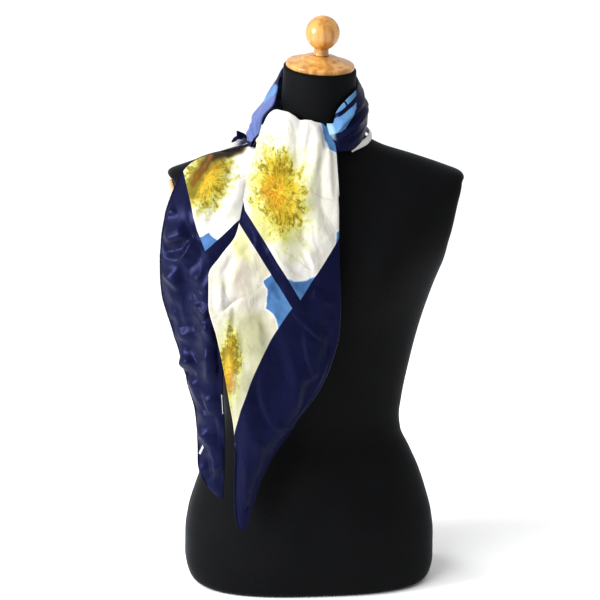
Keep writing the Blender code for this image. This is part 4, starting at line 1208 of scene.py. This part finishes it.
# ---- the dress form's pieces -------------------------------------------------------------------------
SEAM_DEPTH, SEAM_WIDTH, SIDE_SEAM_Y = 0.55, 1.1, 4.0
TORSO_SIDES, TURNED_SIDES, PLATE_SIDES = 200, 80, 96
TORSO_SPANS = ((0, 12, 9), (12, 520, 150), (520, 610, 56))      # heights from, to and how many rows
CAP_PROFILE = ((6.0, 0.3), (43.2, 0.3), (44.5, 1.5), (44.5, 5.6), (42.9, 7.2), (34.0, 9.8), (25.2, 11.6),
               (24.2, 13.4), (22.0, 14.6), (15.0, 16.2), (12.0, 16.8), (3.0, 16.8))
KNOB_FOOT = ((2.0, 17.1), (10.5, 17.1), (10.0, 19.5), (9.5, 22.5), (9.5, 24.8))
KNOB_RADIUS, KNOB_MIDDLE = 22.0, 46.0
PLATE_HALF_WIDE, PLATE_HALF_TALL = 28.0, 29.0
PLATE_RIM = ((26.0, 0.3), (1.0, 0.3), (0.0, 1.3), (0.0, PLATE_THICK - 1.5), (1.8, PLATE_THICK),
             (26.0, PLATE_THICK))      # how far in from the edge, and how far out of the armhole
TAG_OFFSET, TAG_LEAN, TAG_HALF_LONG, TAG_HALF_WIDE, TAG_THICK = (3.0, -0.8, 2.0), 30.0, 8.6, 1.4, 0.4


def form_torso(finish):
    """The covered body, with the cover's pressed seams down both sides and down the middle of the back."""
    spans = [np.linspace(*span)[:-1] for span in TORSO_SPANS] + [np.linspace(610, NECK_TOP, 26)]
    turn = 2 * math.pi * (np.arange(TORSO_SIDES) + 0.5) / TORSO_SIDES
    z = np.concatenate(spans)[:, None] * np.ones(len(turn))
    points = form_point(turn[None, :] * np.ones_like(z), z)
    x, y = points[..., 0], points[..., 1]
    back_seam = np.exp(-(x / SEAM_WIDTH) ** 2) * (y > 0)
    side_seam = np.exp(-((y - SIDE_SEAM_Y) / SEAM_WIDTH) ** 2) * (z < ARMHOLE_END)
    middle = np.stack([np.zeros_like(x), np.zeros_like(x), z], -1)
    points = points - unit(points - middle) * (SEAM_DEPTH * (back_seam + side_seam))[..., None]
    return solid("form_body", points, finish, "jersey", "form_torso")


def solid(name, points, finish, slot_name, node):
    """A closed piece through rings of points, from the bottom up."""
    return dress(closed_ends(grid_object(name, points[::-1], closed=True)), finish, slot_name, node)


def rounded(profile, radius, steps=7):
    """A profile of (r, h) pairs with each inner corner cut to a curve that starts radius away."""
    profile = np.asarray(profile, float)
    path = [profile[0]]
    for before, corner, after in zip(profile, profile[1:], profile[2:]):
        to_before, to_after = before - corner, after - corner
        reach = min(radius, 0.45 * np.hypot(*to_before), 0.45 * np.hypot(*to_after))
        start = corner + to_before / np.hypot(*to_before) * reach
        end = corner + to_after / np.hypot(*to_after) * reach
        for t in np.linspace(0, 1, steps):
            path.append((1 - t) ** 2 * start + 2 * t * (1 - t) * corner + t * t * end)
    return np.array(path + [profile[-1]])


def turned(name, profile, finish, slot_name, node):
    """A turned piece on the neck's sloping top: (radius, height) pairs from the bottom up."""
    turn = np.linspace(0, 2 * math.pi, TURNED_SIDES + 1)[:-1]
    ring = np.stack([np.cos(turn), np.sin(turn), np.zeros_like(turn)], -1)
    points = ring[None] * profile[:, 0, None, None] + np.array([0, 0, 1.0]) * profile[:, 1, None, None]
    made = closed_ends(grid_object(name, points[::-1], closed=True))
    made.location = Vector((0.0, -NECK_LEAN, NECK_TOP)) * MM
    made.rotation_euler = (NECK_TOP_TILT, NECK_SIDE_TILT, 0.0)
    dress(made, finish, slot_name, node)


def neck_cap(finish):
    turned("form_cap_wood", rounded(CAP_PROFILE, 1.6), finish, "cap_wood", "form_neck_cap")


def knob(finish):
    ball = [(KNOB_RADIUS * math.cos(a), KNOB_MIDDLE + KNOB_RADIUS * math.sin(a))
            for a in np.linspace(math.radians(-64), 1.54, 34)]
    turned("form_knob_wood", rounded([*KNOB_FOOT, *ball], 0.8, 3), finish, "cap_wood", "form_knob")


def arm_plate(name, node, side, finish):
    slope = math.atan(ARMHOLE_SLOPE)
    up = np.array([side * math.sin(slope), 0.0, math.cos(slope)])
    out = np.array([side * math.cos(slope), 0.0, -math.sin(slope)])
    across = ARMHOLE_X + (PLATE_MID_Z - ARMHOLE_Z) * ARMHOLE_SLOPE
    middle = np.array([side * across, PLATE_MID_Y, PLATE_MID_Z])
    turn = side * np.linspace(0, 2 * math.pi, PLATE_SIDES + 1)[:-1]
    rim = rounded(PLATE_RIM, 1.5)
    wide, tall = ((half - rim[:, 0])[:, None, None] for half in (PLATE_HALF_WIDE, PLATE_HALF_TALL))
    cos, sin = np.cos(turn)[None, :, None], np.sin(turn)[None, :, None]
    points = middle + out * rim[:, 1, None, None] + np.array([0.0, 1.0, 0.0]) * wide * cos + up * tall * sin
    solid(name, points, finish, "plate_wood", node)


def care_tag(finish):
    """A blank woven tag, a little bent, on the place of its solid."""
    low, high = (np.array(corner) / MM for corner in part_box("care_tag"))
    middle = (low + high) / 2 + np.array(TAG_OFFSET)
    lean = math.radians(TAG_LEAN)
    along = np.array([math.sin(lean) * 0.8, 0.0, math.cos(lean)])
    along /= np.linalg.norm(along)
    facing = np.array([math.cos(lean), -0.25, -math.sin(lean)])
    front = unit(np.cross(along, facing))
    a, b = np.meshgrid(np.linspace(-1, 1, 25), np.linspace(-1, 1, 7), indexing="ij")
    bend = 0.5 * (1 - a ** 2) - 0.25
    points = (middle + along * (a * TAG_HALF_LONG)[..., None] + facing * (b * TAG_HALF_WIDE)[..., None]
              + front * bend[..., None])
    dress(shell(grid_object("care_tag_cloth", points), TAG_THICK), finish, "tag_cloth", "care_tag")


# ---- the floor ---------------------------------------------------------------------------------------
FLOOR_RADIUS = 400.0       # metres


def floor():
    mesh = bpy.data.meshes.new("floor")
    shape = bmesh.new()
    bmesh.ops.create_circle(shape, cap_ends=True, segments=256, radius=FLOOR_RADIUS)
    shape.to_mesh(mesh)
    shape.free()
    graph = Graph("floor paper")
    grain = graph.noise(graph.place("Object"), 60.0, 3.0)
    mesh.materials.append(graph.finish(graph.mix(grain, *PAPER_WHITES), Roughness=0.85))
    placed("floor", mesh)


def scarf():
    navy_hem, navy = hem_finish("navy hem", NAVY), SilkPrint("navy silk", NAVY).silk()
    front_fall(FrontPrint().silk(crumple=1.5), navy_hem)
    shoulder_fall(ShoulderPrint().silk(0.36, 0.34, 0.3), navy_hem)
    under_fall(navy, navy_hem)
    neck_band("neck_band_left", BAND_LEFT, 190, LEFT_PLEATS, left_band_print().silk(0.40, 0.4))
    neck_band("neck_band_back", BAND_BACK, 110, BACK_PLEATS, navy)
    neck_band("neck_band_right", BAND_RIGHT, 210, RIGHT_PLEATS, right_band_print().silk())
    navy_corner = [((122, 13.5), (154, 10), (158, 40), (118, 40))]
    left_end = BandPrint("left end silk", IVORY, navy_corner, pane_colour=NAVY)
    left_hem, ivory_hem = hem_finish("left end hem", IVORY, LEFT_HEM_NAVY), hem_finish("ivory hem", IVORY)
    nape_end("nape_end_left", END_LEFT, left_end.silk(), left_hem, LEFT_TIP)
    nape_end("nape_end_right", END_RIGHT, SilkPrint("ivory silk").silk(), ivory_hem)
    nape_knot(BandPrint("knot silk", KNOT_NAVY).silk(0.36, 0.5))


def dress_form():
    form_torso(jersey_finish())
    wood = wood_finish("honey wood", HONEY, HONEY_GRAIN, 0.30, 0.5, CAP_GRAIN, 70.0)
    pale_wood = wood_finish("pale wood", PALE_WOOD, PALE_GRAIN, 0.45, 0.15, PLATE_GRAIN, 90.0)
    neck_cap(wood)
    knob(wood)
    arm_plate("form_plate_left", "form_arm_plate_left", -1, pale_wood)
    arm_plate("form_plate_right", "form_arm_plate_right", 1, pale_wood)


make_camera()
make_light()
floor()
scarf()
dress_form()
care_tag(tag_finish())
